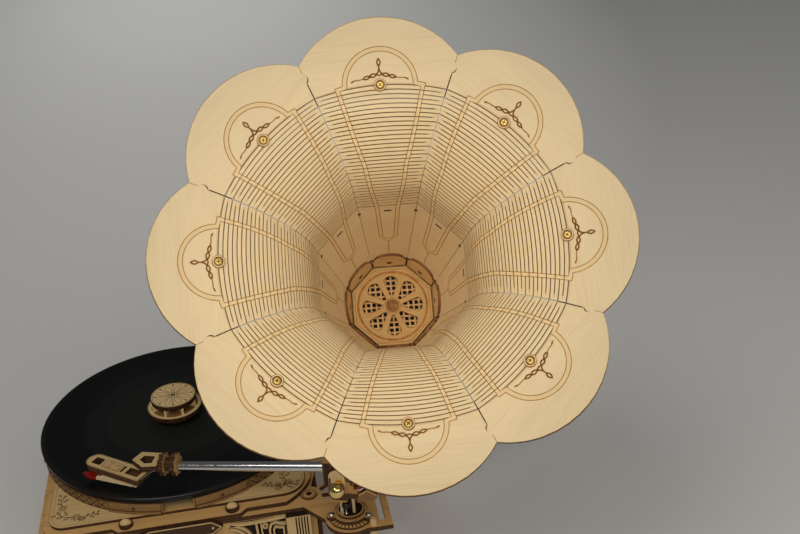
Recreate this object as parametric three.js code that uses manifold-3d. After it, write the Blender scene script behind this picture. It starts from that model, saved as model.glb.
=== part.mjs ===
// A table-top toy gramophone cut from plywood: a box with a record player on its deck, a hand crank,
// a tonearm on a side bracket, and a large eight-petal horn with a small speaker in its throat.
// Units are millimetres. X runs right along the front of the box, Y runs back, Z runs up.
// The origin is where the spindle's axis meets the surface that the box stands on.
import * as THREE from 'three';
import { mergeVertices } from 'three/addons/utils/BufferGeometryUtils.js';
import Module from 'manifold-3d';

const wasm = await Module();
wasm.setup();

// Sheet stock, clearances and mesh values
const plyThickness = 3;
const runningGap = 0.3;
const weldDistance = 0.001;
const cutOverrun = 1;

// Record, which the box is laid out round: it reaches past the box's sides and not past its front
const recordRadius = 87.5;
const recordThickness = 2.2;

// Box
const recordOverhang = 3.5;
const deckMargin = 7.5;
const boxHalfWidth = recordRadius - recordOverhang;
const boxHalfDepth = recordRadius + deckMargin;
const wallHeight = 68;
const cornerRadius = 6;
const backCornerWidth = 39;
const backCornerDepth = 45;
const windowWidth = 26;
const windowHeight = 34;
const windowSill = 18;
const windowPitch = 52;

// Side bracket that carries the tonearm and the horn
const bracketOverhang = 40;
const bracketForward = 28.5;
const bracketReach = boxHalfWidth + bracketOverhang;
const bracketFront = boxHalfDepth + bracketForward;
const bracketRailWidth = 6;
const armOutset = 16.8;
const armForward = 14.5;
const armCentre = new THREE.Vector2(boxHalfWidth + armOutset, -boxHalfDepth - armForward);
const armLobeRadius = 15.5;
const armLobeEndAngle = THREE.MathUtils.degToRad(300);
const neckOutset = 22;
const neckSetback = 5;
const neckCentre = new THREE.Vector2(boxHalfWidth + neckOutset, neckSetback);
const neckLobeRadius = 22;
const hubInset = 5.8;
const hubSetback = 10.8;
const hubCentre = new THREE.Vector2(boxHalfWidth - hubInset, hubSetback - boxHalfDepth);
const hubRadius = 4.5;
const hubHeight = 1;
const hubHoleWidth = 3.4;
const strutHoleInnerRadius = 8;
const strutHoleOuterRadius = 32;
const strutHoleBearings = [[4, 36], [44, 76]];
const frontHoleBearings = [-26, -4];
const bracketSlotWidth = 3.4;
const bracketEdgeWidth = 3.8;

// Deck
const deckHoleRadius = 13;
const deckPlateInset = 3.2;
const deckPlateSetback = 4;
const deckPlateRadius = 12;
const deckCornerCut = 21;
const deckCornerWidthShare = 0.8;
const deckCornerBowShares = [0.18, 0.43];
const deckTabHalfWidth = 36;
const deckPlateHalfWidth = boxHalfWidth - deckPlateInset;
const deckPlateFront = deckPlateSetback - boxHalfDepth;
const deckRailWidth = 8;
const deckSideRailWidth = 4;
const deckFrontRailWidth = 5.7;
const inlayThickness = 2;
const inlayRadius = 9;
const inlayRightRadius = 14;
const surroundInset = 1;
const surroundOuterRadius = recordRadius - surroundInset;
const surroundWidth = 3;
const surroundHeight = 5;
const surroundGapAngle = THREE.MathUtils.degToRad(6);
const pegSpacing = 63;
const pegLength = 7;
const pegWidth = 4.5;
const pegHeight = 3;
const pegBossRadius = 4.2;
const pegBossHeight = 2;
const pegSetback = 5;

// Front ornament
const plaqueLength = 54;
const plaqueHeight = 13;
const plaqueThickness = 3;
const plaquePointLength = 8;
const screenMargin = 4;
const screenHeight = 50;
const screenThickness = 2.5;
const screenArchRadius = 13;
const screenArchCount = 3;
const screenArchPitch = 38;
const screenArchStraight = 16;
const pilasterWidth = 14;
const pilasterThickness = 4;
const pilasterFluteCount = 4;
const pilasterFluteWidth = 1.8;
const pilasterFluteDepth = 1.4;
const pilasterPlinthHeight = 8;

// Record player
const platterInset = 2.5;
const platterRadius = recordRadius - platterInset;
const platterThickness = 3;
const platterClearance = 1.5;
const platterHubRadius = 10;
const spindleRadius = 3;
const spindleTopRise = 8;
const clampBaseRadius = 17.5;
const clampBaseHeight = plyThickness;
const clampFootRadius = 12;
const clampFootHeight = 4.6;
const clampNeckRadius = 9;
const clampNeckHeight = 4.3;
const clampCapRadius = 14.6;
const clampCapHeight = plyThickness;
const clampFinCount = 8;
const clampFinDepth = 2.2;
const clampFinWidth = 3;

// Drive train
const bearingRadius = 8;
const bearingFootRadius = 15;
const bearingFootHeight = 4;
const bearingTopGap = 0.4;
const crownTeeth = 24;
const crownPitchRadius = 24;
const crownFaceWidth = 6;
const crownRimWidth = 0.8;
const crownDiscThickness = 3.5;
const crownHubHeight = 3.4;
const crankPinionTeeth = 15;
const crankPinionPitchRadius = 15;
const crankPinionWidth = 5;
const crownAddendum = 1.2;
const crownDedendum = 1.7;
const platterGearTeeth = 40;
const platterGearPitchRadius = 36;
const platterGearThickness = 4;
const platterGearDeckGap = 4;
const platterGearHeight = plyThickness + wallHeight - platterGearDeckGap - platterGearThickness;
const platterGearHoleCount = 5;
const platterGearHoleRadius = 7.2;
const platterGearHoleRing = 20;
const crankPinionTopGap = 2.8;
const crankPinionTipRadius = crankPinionPitchRadius + crownAddendum;
const crankAxisHeight = platterGearHeight - crankPinionTopGap - crankPinionTipRadius;
const governorTeeth = 10;
const governorPitchRadius = 9;
const governorAngle = THREE.MathUtils.degToRad(150);
const governorShaftRadius = 2.5;
const governorFlywheelRadius = 21;
const governorFlywheelThickness = 6;
const governorFlywheelHeight = 36;
const governorBossRadius = 6;
const governorBossHeight = 5;
const spurAddendum = 1.15;
const spurDedendum = 1.7;
const gearToothShare = 0.4;
const toothTipShare = 0.62;
const toothRootShare = 1.3;

// Crank
const crankShaftRadius = 3;
const crankShaftInnerEnd = 14;
const crankBushRadius = 7;
const crankBushFlangeRadius = 11;
const crankBushFlangeThickness = 3;
const crankBushLength = 46;
const crankArmStandoff = 47;
const crankArmLength = 28;
const crankArmWidth = 12;
const crankArmEndShare = 0.8;
const crankArmThickness = 5;
const crankGripLength = 26;
const crankGripRadius = 6.5;
const crankGripNeckRadius = 4.5;
const crankPinRadius = 2;
const crankPinHeadRadius = 3.6;
const crankPinHeadLength = 2;

// Tonearm
const armLength = 100.8;
const armAzimuth = THREE.MathUtils.degToRad(161);
const armPivotRise = 17;
const armDip = 6;
const armTubeRadius = 3;
const armTubeWall = 0.6;
const armAxleRise = 11.5;
const armAxleRadius = 1.5;
const armBallRadius = 4.85;
const armNutRadius = 3;
const armNutLength = 1.6;
const armAxleAhead = 3.8;
const armLineAside = 2.4;
const dialScaleThickness = 1.5;
const dialScaleRadius = 13.3;
const dialScaleInnerRadius = 9;
const dialCollarRadius = 10.8;
const dialCollarHeight = 2.5;
const dialRimRadius = 8.8;
const dialRimHeight = 1.5;
const dialWellRadius = 7.2;
const dialEarRadius = 3;
const dialEarDistance = 11.8;
const dialEarSpread = THREE.MathUtils.degToRad(70);
const dialTurn = THREE.MathUtils.degToRad(-14);
const pendantRadius = 12.5;
const pendantLength = 24;
const pendantProfileShares = [
  [0, 1], [0.2, 1], [0.25, 0.8], [0.5, 0.62], [0.9, 0.35], [1, 0.15], [1, 0], [0, 0],
];
const yokeDiscThickness = 2;
const yokeStemRadius = 4;
const yokeBridgeThickness = 3;
const yokeBridgeRise = -4;
const yokeCheekThickness = 3;
const yokeCheekLength = 15;
const blockWidth = 10.4;
const blockLength = 20;
const blockHeight = 17;
const tubeSocketDepth = 6;
const weightLength = 18;
const weightWidth = 13;
const weightHeight = 9;
const weightTilt = THREE.MathUtils.degToRad(16);
const couplingDiscRadius = 7.2;
const couplingLobeCount = 8;
const couplingLobeDepth = 1.1;
const couplingDiscThickness = 3;
const couplingCoreRadius = 4;
const couplingCoreLength = 4.4;
const headshellLength = 43;
const headshellWidth = 12;
const headshellThickness = 4;
const headshellOffset = THREE.MathUtils.degToRad(-19);
const headshellRise = 7.2;
const headshellAhead = 7;
const headshellAside = 10.5;
const headshellNoseHole = [32, 38.6];
const headshellBarHole = [14.8, 16.4];
const headshellPocket = [2.8, 12.4];
const softCornerRadius = 0.7;
const legWidth = 13;
const legLength = 17;
const legFlare = 1.5;
const legWindowShare = 0.5;
const cartridgeStart = 4;
const cartridgeAside = 2.1;
const cartridgeTurn = THREE.MathUtils.degToRad(7.8);
const cartridgeDrop = 1.7;
const cartridgeLength = 31;
const cartridgeWidth = 5;
const cartridgeThickness = 2.6;
const cartridgePostLength = 5;
const stylusBodyLength = 10;
const stylusBodyDrop = 1.3;
const stylusTipRadius = 0.9;

// Horn, in its own frame: Z is the horn's axis towards its mouth, Y is up, zero is the petals' inner end
const petalCount = 8;
const hornElevation = THREE.MathUtils.degToRad(40.4);
const hornAzimuth = THREE.MathUtils.degToRad(6.65);
const throatOutset = 32.9;
const throatForward = 81.9;
const throatRise = 121.7;
const throatCircumradius = 28.2;
const petalThickness = 2;
const petalStraightLength = 83.7;
const petalBendLength = 64.3;
const petalStartSlope = THREE.MathUtils.degToRad(9.6);
const petalEndSlope = THREE.MathUtils.degToRad(76.1);
const petalRimLength = 11.8;
const petalLobeRise = 21;
const petalBendSteps = 8;
const petalColumns = 8;
const seamGap = 0.4;
const hoopInnerReach = 3;
const hoopOuterReach = 9;
const hoopThickness = 3;
const crownWall = 2;
const crownLobeRise = 5;
const crownLobeHoleRadius = 1.1;
const grilleRecess = 8.7;
const grilleThickness = 2;
const grilleOpeningCount = 8;
const grilleOpeningInnerRadius = 5.6;
const grilleOpeningOuterRadius = 17.6;
const grilleOpeningWidth = 7.8;
const grilleCentreHoleRadius = 3.2;
const collarWall = 5;
const collarLedgeRadius = 21;
const collarLedgeThickness = 1.9;
const gauzeSpace = 1.1;
const speakerRimRadius = 24;
const speakerRimThickness = 2;
const speakerConeRadius = 20;
const speakerConeDepth = 8;
const speakerCapRadius = 6;
const speakerCapRise = 2.4;
const speakerMagnetRadius = 15;
const speakerMagnetLength = 7;
const speakerBasketRadius = 13;
const speakerBasketDepth = 12;
const housingWall = 2.5;
const housingStraight = 8;
const housingLength = 30;
const neckLargeRadius = 21;
const neckSmallRadius = 13;
const neckWall = 2.5;
const neckSides = 10;
const neckSteps = 10;
const neckUpperReach = 35;
const neckLowerReach = 42;
const socketHeight = 18;
const socketFlangeRadius = 19;
const socketFlangeHeight = 4;
const socketTubeRadius = 15.5;
const socketBoreRadius = 10;

// Electronics in the box
const boardLength = 50;
const boardWidth = 36;
const boardThickness = 1.6;
const boardPostHeight = 5;
const boardPostRadius = 2.5;
const boardInset = 12;
const boardPartHeight = 9;
const batteryLength = 62;
const batteryWidth = 32;
const batteryHeight = 18;
const batteryWall = 2;
const batteryInset = 6;

// Numbers of facets
const nutFacets = 6;
const tipFacets = 8;
const arcSteps = 6;
const coarseFacets = 12;
const middleFacets = 20;
const fineFacets = 32;
const recordFacets = 56;

// Heights of the stack, from the table up
const deckFrameBottom = plyThickness + wallHeight;
const deckFrameTop = deckFrameBottom + plyThickness;
const deckPlateTop = deckFrameTop + plyThickness;
const inlayTop = deckPlateTop + inlayThickness;
const surroundTop = inlayTop + surroundHeight;
const platterBottom = surroundTop + platterClearance;
const platterTop = platterBottom + platterThickness;
const recordBottom = platterTop + runningGap;
const recordTop = recordBottom + recordThickness;
const boreRadius = spindleRadius + runningGap;
const frontFace = -boxHalfDepth;

const lightPly = new THREE.MeshStandardMaterial({ color: 0xe2c595, roughness: 0.72, metalness: 0 });
const tanPly = new THREE.MeshStandardMaterial({ color: 0xb98c55, roughness: 0.75, metalness: 0 });
const darkPly = new THREE.MeshStandardMaterial({ color: 0x7a4f2a, roughness: 0.78, metalness: 0 });
const vinyl = new THREE.MeshStandardMaterial({ color: 0x0d0d0f, roughness: 0.28, metalness: 0 });
const blackPlastic = new THREE.MeshStandardMaterial({ color: 0x1a1a1c, roughness: 0.5, metalness: 0 });
const steel = new THREE.MeshStandardMaterial({ color: 0xb8babd, roughness: 0.25, metalness: 1 });
const brass = new THREE.MeshStandardMaterial({ color: 0xc9a24a, roughness: 0.25, metalness: 1 });
const redPlastic = new THREE.MeshStandardMaterial({ color: 0xa01c18, roughness: 0.4, metalness: 0 });
const greenBoard = new THREE.MeshStandardMaterial({ color: 0x1f5a34, roughness: 0.5, metalness: 0 });

// Keeps a geometry's positions only, welds its corners, drops empty triangles and turns its faces out
function closedBody(geometry) {
  const bare = new THREE.BufferGeometry();
  bare.setAttribute('position', geometry.getAttribute('position').clone());
  if (geometry.index) bare.setIndex(geometry.index.clone());
  const welded = mergeVertices(bare, weldDistance);
  const position = welded.getAttribute('position');
  const kept = [];
  let volume = 0;
  const a = new THREE.Vector3();
  const b = new THREE.Vector3();
  const c = new THREE.Vector3();
  for (let i = 0; i < welded.index.count; i += 3) {
    const [p, q, r] = [welded.index.getX(i), welded.index.getX(i + 1), welded.index.getX(i + 2)];
    if (p === q || q === r || r === p) continue;
    kept.push(p, q, r);
    a.fromBufferAttribute(position, p);
    b.fromBufferAttribute(position, q);
    c.fromBufferAttribute(position, r);
    volume += a.dot(b.cross(c));
  }
  if (volume < 0) kept.reverse();
  welded.setIndex(kept);
  return welded;
}

function solidOf(geometry) {
  const body = closedBody(geometry);
  return new wasm.Manifold(new wasm.Mesh({
    numProp: 3,
    vertProperties: Float32Array.from(body.getAttribute('position').array),
    triVerts: Uint32Array.from(body.index.array),
  }));
}

function geometryOf(solid) {
  const mesh = solid.getMesh();
  const geometry = new THREE.BufferGeometry();
  geometry.setAttribute('position', new THREE.BufferAttribute(Float32Array.from(mesh.vertProperties), 3));
  geometry.setIndex(Array.from(mesh.triVerts));
  return geometry;
}

function joined(...geometries) {
  let solid = solidOf(geometries[0]);
  for (const geometry of geometries.slice(1)) solid = solid.add(solidOf(geometry));
  return geometryOf(solid);
}

function cutFrom(geometry, ...cutters) {
  let solid = solidOf(geometry);
  for (const cutter of cutters) solid = solid.subtract(solidOf(cutter));
  return geometryOf(solid);
}

function named(name, geometry, material) {
  const mesh = new THREE.Mesh(closedBody(geometry), material);
  mesh.name = name;
  return mesh;
}

// A flat outline raised from one height by a thickness
function plate(shape, bottom, thickness, curveSegments = arcSteps) {
  const geometry = new THREE.ExtrudeGeometry(shape, { depth: thickness, bevelEnabled: false, curveSegments });
  return geometry.translate(0, 0, bottom);
}

// A raised outline with holes right through it
function pierced(shape, holes, bottom, thickness, curveSegments = arcSteps) {
  const depth = thickness + 2 * cutOverrun;
  const cutters = holes.map((hole) => plate(hole, bottom - cutOverrun, depth, curveSegments));
  return cutFrom(plate(shape, bottom, thickness, curveSegments), ...cutters);
}

// A profile of [radius, height] pairs turned about Z, with a corner at phase from +X
function turned(profile, segments = middleFacets, phase = 0) {
  const points = profile.map(([radius, height]) => new THREE.Vector2(radius, height));
  return new THREE.LatheGeometry(points, segments, phase).rotateX(Math.PI / 2);
}

function rod(radius, bottom, top, segments = middleFacets) {
  return turned([[0, bottom], [radius, bottom], [radius, top], [0, top]], segments);
}

function tube(outerRadius, innerRadius, bottom, top, segments = middleFacets) {
  const profile = [[innerRadius, bottom], [outerRadius, bottom], [outerRadius, top], [innerRadius, top]];
  return turned([...profile, profile[0]], segments);
}

function brick(sizeX, sizeY, sizeZ, x, y, z) {
  return new THREE.BoxGeometry(sizeX, sizeY, sizeZ).translate(x, y, z);
}

// A rectangle from its left, front, right and back sides, with rounded corners
function roundedRectangle(left, front, right, back, radius) {
  const shape = new THREE.Shape();
  shape.moveTo(left + radius, front);
  shape.lineTo(right - radius, front);
  shape.absarc(right - radius, front + radius, radius, -Math.PI / 2, 0);
  shape.lineTo(right, back - radius);
  shape.absarc(right - radius, back - radius, radius, 0, Math.PI / 2);
  shape.lineTo(left + radius, back);
  shape.absarc(left + radius, back - radius, radius, Math.PI / 2, Math.PI);
  shape.lineTo(left, front + radius);
  shape.absarc(left + radius, front + radius, radius, Math.PI, Math.PI * 3 / 2);
  return shape;
}

function circle(centreX, centreY, radius, facets = coarseFacets) {
  const points = [];
  for (let i = 0; i < facets; i += 1) {
    const angle = i * Math.PI * 2 / facets;
    points.push(new THREE.Vector2(centreX + radius * Math.cos(angle), centreY + radius * Math.sin(angle)));
  }
  return new THREE.Shape(points);
}

// An upright window with a round top
function archedWindow(centreX, sill, width, height) {
  const springing = sill + height - width / 2;
  const shape = new THREE.Shape();
  shape.moveTo(centreX - width / 2, sill);
  shape.lineTo(centreX + width / 2, sill);
  shape.lineTo(centreX + width / 2, springing);
  shape.absarc(centreX, springing, width / 2, 0, Math.PI);
  return shape;
}

function gearOutline(teeth, pitchRadius, addendum, dedendum, phase) {
  const points = [];
  const halfTooth = gearToothShare * Math.PI / teeth;
  for (let tooth = 0; tooth < teeth; tooth += 1) {
    const middle = phase + tooth * Math.PI * 2 / teeth;
    const corners = [
      [pitchRadius - dedendum, -toothRootShare],
      [pitchRadius + addendum, -toothTipShare],
      [pitchRadius + addendum, toothTipShare],
      [pitchRadius - dedendum, toothRootShare],
    ];
    for (const [radius, widthShare] of corners) {
      const angle = middle + widthShare * halfTooth;
      points.push(new THREE.Vector2(radius * Math.cos(angle), radius * Math.sin(angle)));
    }
  }
  return new THREE.Shape(points);
}

// Turns an upright plate, drawn with X along the wall and Y up, into a wall facing front
function standUp(geometry, frontY) {
  return geometry.rotateX(Math.PI / 2).translate(0, frontY, 0);
}

function upright(shape, thickness, frontY, holes = []) {
  return standUp(pierced(shape, holes, -thickness, thickness), frontY);
}

// Box

// Where the sloping back corners start, and how far they step inwards for each millimetre back
const slopeStart = boxHalfDepth - backCornerDepth;
const slopeStep = backCornerWidth / backCornerDepth;

// Carries a plate's outline round the sloping back corners, from its right side to its left one
function backCorners(shape, right, left, inset = 0) {
  const step = inset * Math.hypot(1, slopeStep);
  const back = boxHalfDepth - inset;
  const middle = boxHalfWidth - step - (back - slopeStart) * slopeStep;
  shape.lineTo(right, slopeStart + (boxHalfWidth - step - right) / slopeStep);
  shape.lineTo(middle, back);
  shape.lineTo(-middle, back);
  shape.lineTo(left, slopeStart + (boxHalfWidth - step + left) / slopeStep);
}

function bottomPlate() {
  const shape = new THREE.Shape();
  const cornerX = boxHalfWidth - cornerRadius;
  const cornerY = boxHalfDepth - cornerRadius;
  shape.moveTo(-cornerX, -boxHalfDepth);
  shape.absarc(cornerX, -cornerY, cornerRadius, -Math.PI / 2, 0);
  backCorners(shape, boxHalfWidth, -boxHalfWidth);
  shape.absarc(-cornerX, -cornerY, cornerRadius, Math.PI, Math.PI * 3 / 2);
  const bossTop = plyThickness + governorBossHeight;
  const boss = rod(governorBossRadius, plyThickness - cutOverrun, bossTop, coarseFacets);
  const bore = rod(governorShaftRadius + runningGap, plyThickness, bossTop + cutOverrun, coarseFacets);
  const place = governorPlace();
  boss.translate(place.x, place.y, 0);
  bore.translate(place.x, place.y, 0);
  return named('bottom_plate', cutFrom(joined(plate(shape, 0, plyThickness), boss), bore), tanPly);
}

// A wall facing front, from its half length and the windows that it has, counted from its middle
function windowedWall(halfLength, frontY, windows) {
  const shape = new THREE.Shape();
  shape.moveTo(-halfLength, plyThickness);
  shape.lineTo(halfLength, plyThickness);
  shape.lineTo(halfLength, deckFrameBottom);
  shape.lineTo(-halfLength, deckFrameBottom);
  const holes = windows.map((place) => (
    archedWindow(place * windowPitch, windowSill, windowWidth, windowHeight)
  ));
  return upright(shape, plyThickness, frontY, holes);
}

// The back wall is one bent piece, whose ends run in a slope to the side walls
function backWall() {
  const thick = plyThickness * Math.hypot(1, slopeStep);
  const inner = boxHalfDepth - plyThickness;
  const innerCorner = boxHalfWidth - thick - (inner - slopeStart) * slopeStep;
  const shape = new THREE.Shape();
  shape.moveTo(-boxHalfWidth, slopeStart);
  shape.lineTo(thick - boxHalfWidth, slopeStart);
  shape.lineTo(-innerCorner, inner);
  shape.lineTo(innerCorner, inner);
  shape.lineTo(boxHalfWidth - thick, slopeStart);
  shape.lineTo(boxHalfWidth, slopeStart);
  shape.lineTo(boxHalfWidth - backCornerWidth, boxHalfDepth);
  shape.lineTo(backCornerWidth - boxHalfWidth, boxHalfDepth);
  const opening = archedWindow(0, windowSill, windowWidth, windowHeight);
  const cutter = upright(opening, plyThickness + 2 * cutOverrun, inner - cutOverrun);
  return cutFrom(plate(shape, plyThickness, wallHeight), cutter);
}

// The right wall is solid round the crank's bush, where the left one has its middle window
function walls() {
  const longHalf = boxHalfWidth - cornerRadius / 2;
  const sideFront = frontFace + plyThickness;
  const sideHalf = (slopeStart - sideFront) / 2;
  const sideMiddle = (slopeStart + sideFront) / 2;
  const front = windowedWall(longHalf, frontFace, [-1, 0, 1]);
  const back = backWall();
  const left = windowedWall(sideHalf, 0, [-1, 0, 1]).rotateZ(Math.PI / 2);
  const right = windowedWall(sideHalf, 0, [-1, 1]).rotateZ(Math.PI / 2);
  left.translate(plyThickness - boxHalfWidth, sideMiddle, 0);
  right.translate(boxHalfWidth, sideMiddle, 0);
  const bushHole = rod(crankBushRadius + runningGap, -plyThickness, plyThickness);
  bushHole.rotateY(Math.PI / 2).translate(boxHalfWidth - plyThickness / 2, 0, crankAxisHeight);
  return [
    named('front_wall', front, tanPly),
    named('back_wall', back, tanPly),
    named('left_wall', left, tanPly),
    named('right_wall', cutFrom(right, bushHole), tanPly),
  ];
}

function deckFrameOutline() {
  const shape = new THREE.Shape();
  const cornerX = boxHalfWidth - cornerRadius;
  const cornerY = boxHalfDepth - cornerRadius;
  shape.moveTo(-cornerX, -boxHalfDepth);
  shape.lineTo(hubCentre.x - hubRadius, -boxHalfDepth);
  shape.lineTo(armCentre.x - armLobeRadius, armCentre.y);
  shape.absarc(armCentre.x, armCentre.y, armLobeRadius, Math.PI, armLobeEndAngle);
  shape.lineTo(bracketReach - bracketRailWidth - bracketSlotWidth, -bracketFront);
  shape.lineTo(bracketReach, -bracketFront);
  shape.lineTo(bracketReach, neckCentre.y - neckLobeRadius);
  shape.absarc(neckCentre.x, neckCentre.y, neckLobeRadius, 0, Math.PI / 2);
  backCorners(shape, boxHalfWidth, -boxHalfWidth);
  shape.lineTo(-boxHalfWidth, -cornerY);
  shape.absarc(-cornerX, -cornerY, cornerRadius, Math.PI, Math.PI * 3 / 2);
  return shape;
}

// A wedge of a ring round the hub, left open between two struts that lie on bearings given in degrees
function strutHole(bearings, outerRadius) {
  const [from, to] = bearings.map(THREE.MathUtils.degToRad);
  const shape = new THREE.Shape();
  shape.absarc(hubCentre.x, hubCentre.y, outerRadius, from, to);
  shape.absarc(hubCentre.x, hubCentre.y, strutHoleInnerRadius, to, from, true);
  return shape;
}

function deckFrame() {
  const slotRight = bracketReach - bracketEdgeWidth;
  const slotLeft = slotRight - bracketSlotWidth;
  const slotFront = -bracketFront + bracketRailWidth;
  const slotBack = -boxHalfDepth + bracketRailWidth;
  const backSlotLeft = boxHalfWidth + bracketRailWidth;
  const backSlotFront = hubCentre.y + strutHoleOuterRadius;
  const backSlotBack = neckCentre.y - neckLobeRadius - bracketRailWidth;
  const holes = [
    circle(0, 0, deckHoleRadius, middleFacets),
    ...strutHoleBearings.map((bearings) => strutHole(bearings, strutHoleOuterRadius)),
    strutHole(frontHoleBearings, strutHoleOuterRadius - bracketRailWidth),
    roundedRectangle(slotLeft, slotFront, slotRight, slotBack, bracketSlotWidth / 4),
    roundedRectangle(backSlotLeft, backSlotFront, slotRight, backSlotBack, bracketSlotWidth / 4),
  ];
  const frame = pierced(deckFrameOutline(), holes, deckFrameBottom, plyThickness);
  const hubBoss = rod(hubRadius, deckFrameTop - cutOverrun, deckFrameTop + hubHeight, middleFacets);
  hubBoss.translate(hubCentre.x, hubCentre.y, 0);
  const hubHole = brick(hubHoleWidth, hubHoleWidth, plyThickness * 3, 0, 0, deckFrameTop);
  hubHole.rotateZ(Math.PI / 4).translate(hubCentre.x, hubCentre.y, 0);
  return named('deck_frame', cutFrom(joined(frame, hubBoss), hubHole), tanPly);
}

// The record player's own deck: a tan plate with a tab at its front and its right corner cut off in a bow
function deckPlate() {
  const side = deckPlateHalfWidth;
  const front = deckPlateFront;
  const tabFoot = deckTabHalfWidth + deckPlateSetback;
  const [bowWidth, bowDepth] = deckCornerBowShares.map((share) => share * deckCornerCut);
  const shape = new THREE.Shape();
  shape.moveTo(deckPlateRadius - side, front);
  shape.lineTo(-tabFoot, front);
  shape.lineTo(-deckTabHalfWidth, -boxHalfDepth);
  shape.lineTo(deckTabHalfWidth, -boxHalfDepth);
  shape.lineTo(tabFoot, front);
  shape.lineTo(side - deckCornerCut * deckCornerWidthShare, front);
  shape.quadraticCurveTo(side - bowWidth, front + bowDepth, side, front + deckCornerCut);
  backCorners(shape, side, -side);
  shape.absarc(deckPlateRadius - side, front + deckPlateRadius, deckPlateRadius, Math.PI, Math.PI * 3 / 2);
  const middleHole = circle(0, 0, deckHoleRadius, middleFacets);
  return named('deck_plate', pierced(shape, [middleHole], deckFrameTop, plyThickness), tanPly);
}

function deckInlay() {
  const side = deckPlateHalfWidth - deckSideRailWidth;
  const front = deckPlateFront + deckFrontRailWidth;
  const shape = new THREE.Shape();
  shape.moveTo(inlayRadius - side, front);
  shape.absarc(side - inlayRightRadius, front + inlayRightRadius, inlayRightRadius, -Math.PI / 2, 0);
  backCorners(shape, side, -side, deckRailWidth);
  shape.absarc(inlayRadius - side, front + inlayRadius, inlayRadius, Math.PI, Math.PI * 3 / 2);
  const inlay = pierced(shape, [circle(0, 0, deckHoleRadius, middleFacets)], deckPlateTop, inlayThickness);
  return named('deck_inlay', inlay, lightPly);
}

// Half of the bent strip that stands on the deck round the platter
function surroundHalf(name, side) {
  const from = side > 0 ? -Math.PI / 2 + surroundGapAngle : Math.PI / 2 + surroundGapAngle;
  const to = from + Math.PI - 2 * surroundGapAngle;
  const shape = new THREE.Shape();
  shape.absarc(0, 0, surroundOuterRadius, from, to);
  shape.absarc(0, 0, surroundOuterRadius - surroundWidth, to, from, true);
  return named(name, plate(shape, inlayTop, surroundHeight, recordFacets / 2), tanPly);
}

function pegs() {
  const meshes = [];
  for (const [name, side] of [['peg_left', -1], ['peg_right', 1]]) {
    const dome = new THREE.SphereGeometry(pegLength / 2, coarseFacets, coarseFacets / 2);
    dome.scale(1, pegWidth / pegLength, pegHeight * 2 / pegLength);
    const height = brick(pegLength * 2, pegLength * 2, pegLength, 0, 0, (pegLength - cutOverrun) / 2);
    const upper = geometryOf(solidOf(dome).intersect(solidOf(height)));
    const boss = rod(pegBossRadius, 0, pegBossHeight, coarseFacets);
    const peg = joined(boss, upper.translate(0, 0, pegBossHeight));
    peg.translate(side * pegSpacing / 2, frontFace + pegSetback, deckPlateTop);
    meshes.push(named(name, peg, lightPly));
  }
  return meshes;
}

// Front ornament

function plaque() {
  const half = plaqueLength / 2;
  const tall = plaqueHeight / 2;
  const shape = new THREE.Shape([
    new THREE.Vector2(-half, 0),
    new THREE.Vector2(plaquePointLength - half, -tall),
    new THREE.Vector2(half - plaquePointLength, -tall),
    new THREE.Vector2(half, 0),
    new THREE.Vector2(half - plaquePointLength, tall),
    new THREE.Vector2(plaquePointLength - half, tall),
  ]);
  const geometry = upright(shape, plaqueThickness, frontFace - plaqueThickness);
  geometry.translate(0, 0, deckPlateTop - tall);
  return named('front_plaque', geometry, tanPly);
}

function frontScreen() {
  const top = plyThickness + screenHeight;
  const half = pilasterCentreX() - pilasterWidth / 2 - screenMargin;
  const shape = new THREE.Shape();
  shape.moveTo(-half, plyThickness);
  shape.lineTo(half, plyThickness);
  shape.lineTo(half, top);
  shape.lineTo(-half, top);
  const holes = [];
  for (let i = 0; i < screenArchCount; i += 1) {
    const centre = (i - (screenArchCount - 1) / 2) * screenArchPitch;
    const height = screenArchStraight + screenArchRadius;
    const sill = plyThickness + (screenHeight - height) / 2;
    holes.push(archedWindow(centre, sill, screenArchRadius * 2, height));
  }
  return named('front_screen', upright(shape, screenThickness, frontFace - screenThickness, holes), lightPly);
}

function pilasterCentreX() {
  return boxHalfWidth - cornerRadius / 2 - pilasterWidth / 2;
}

function pilaster(name, side) {
  const half = pilasterWidth / 2;
  const shape = new THREE.Shape();
  shape.moveTo(-half, 0);
  shape.lineTo(-half, -pilasterThickness);
  const pitch = pilasterWidth / pilasterFluteCount;
  for (let i = 0; i < pilasterFluteCount; i += 1) {
    const middle = -half + (i + 1 / 2) * pitch;
    shape.lineTo(middle - pilasterFluteWidth / 2, -pilasterThickness);
    shape.lineTo(middle, -pilasterThickness + pilasterFluteDepth);
    shape.lineTo(middle + pilasterFluteWidth / 2, -pilasterThickness);
  }
  shape.lineTo(half, -pilasterThickness);
  shape.lineTo(half, 0);
  const shaft = plate(shape, plyThickness, wallHeight);
  const plinthDepth = pilasterThickness + plyThickness / 2;
  const plinth = brick(pilasterWidth, plinthDepth, pilasterPlinthHeight, 0, -plinthDepth / 2,
    plyThickness + pilasterPlinthHeight / 2);
  const capital = plinth.clone().translate(0, 0, wallHeight - pilasterPlinthHeight);
  const geometry = joined(shaft, plinth, capital);
  geometry.translate(side * pilasterCentreX(), frontFace, 0);
  return named(name, geometry, lightPly);
}

// Record player

function platterParts() {
  const platter = [
    [boreRadius, surroundTop - platterClearance], [platterHubRadius, surroundTop - platterClearance],
    [platterHubRadius, platterBottom], [platterRadius, platterBottom], [platterRadius, platterTop],
    [boreRadius, platterTop],
  ];
  const record = tube(recordRadius, boreRadius, recordBottom, recordTop, recordFacets);
  return [
    named('platter', turned([...platter, platter[0]], recordFacets), blackPlastic),
    named('record', record, vinyl),
  ];
}

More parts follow.
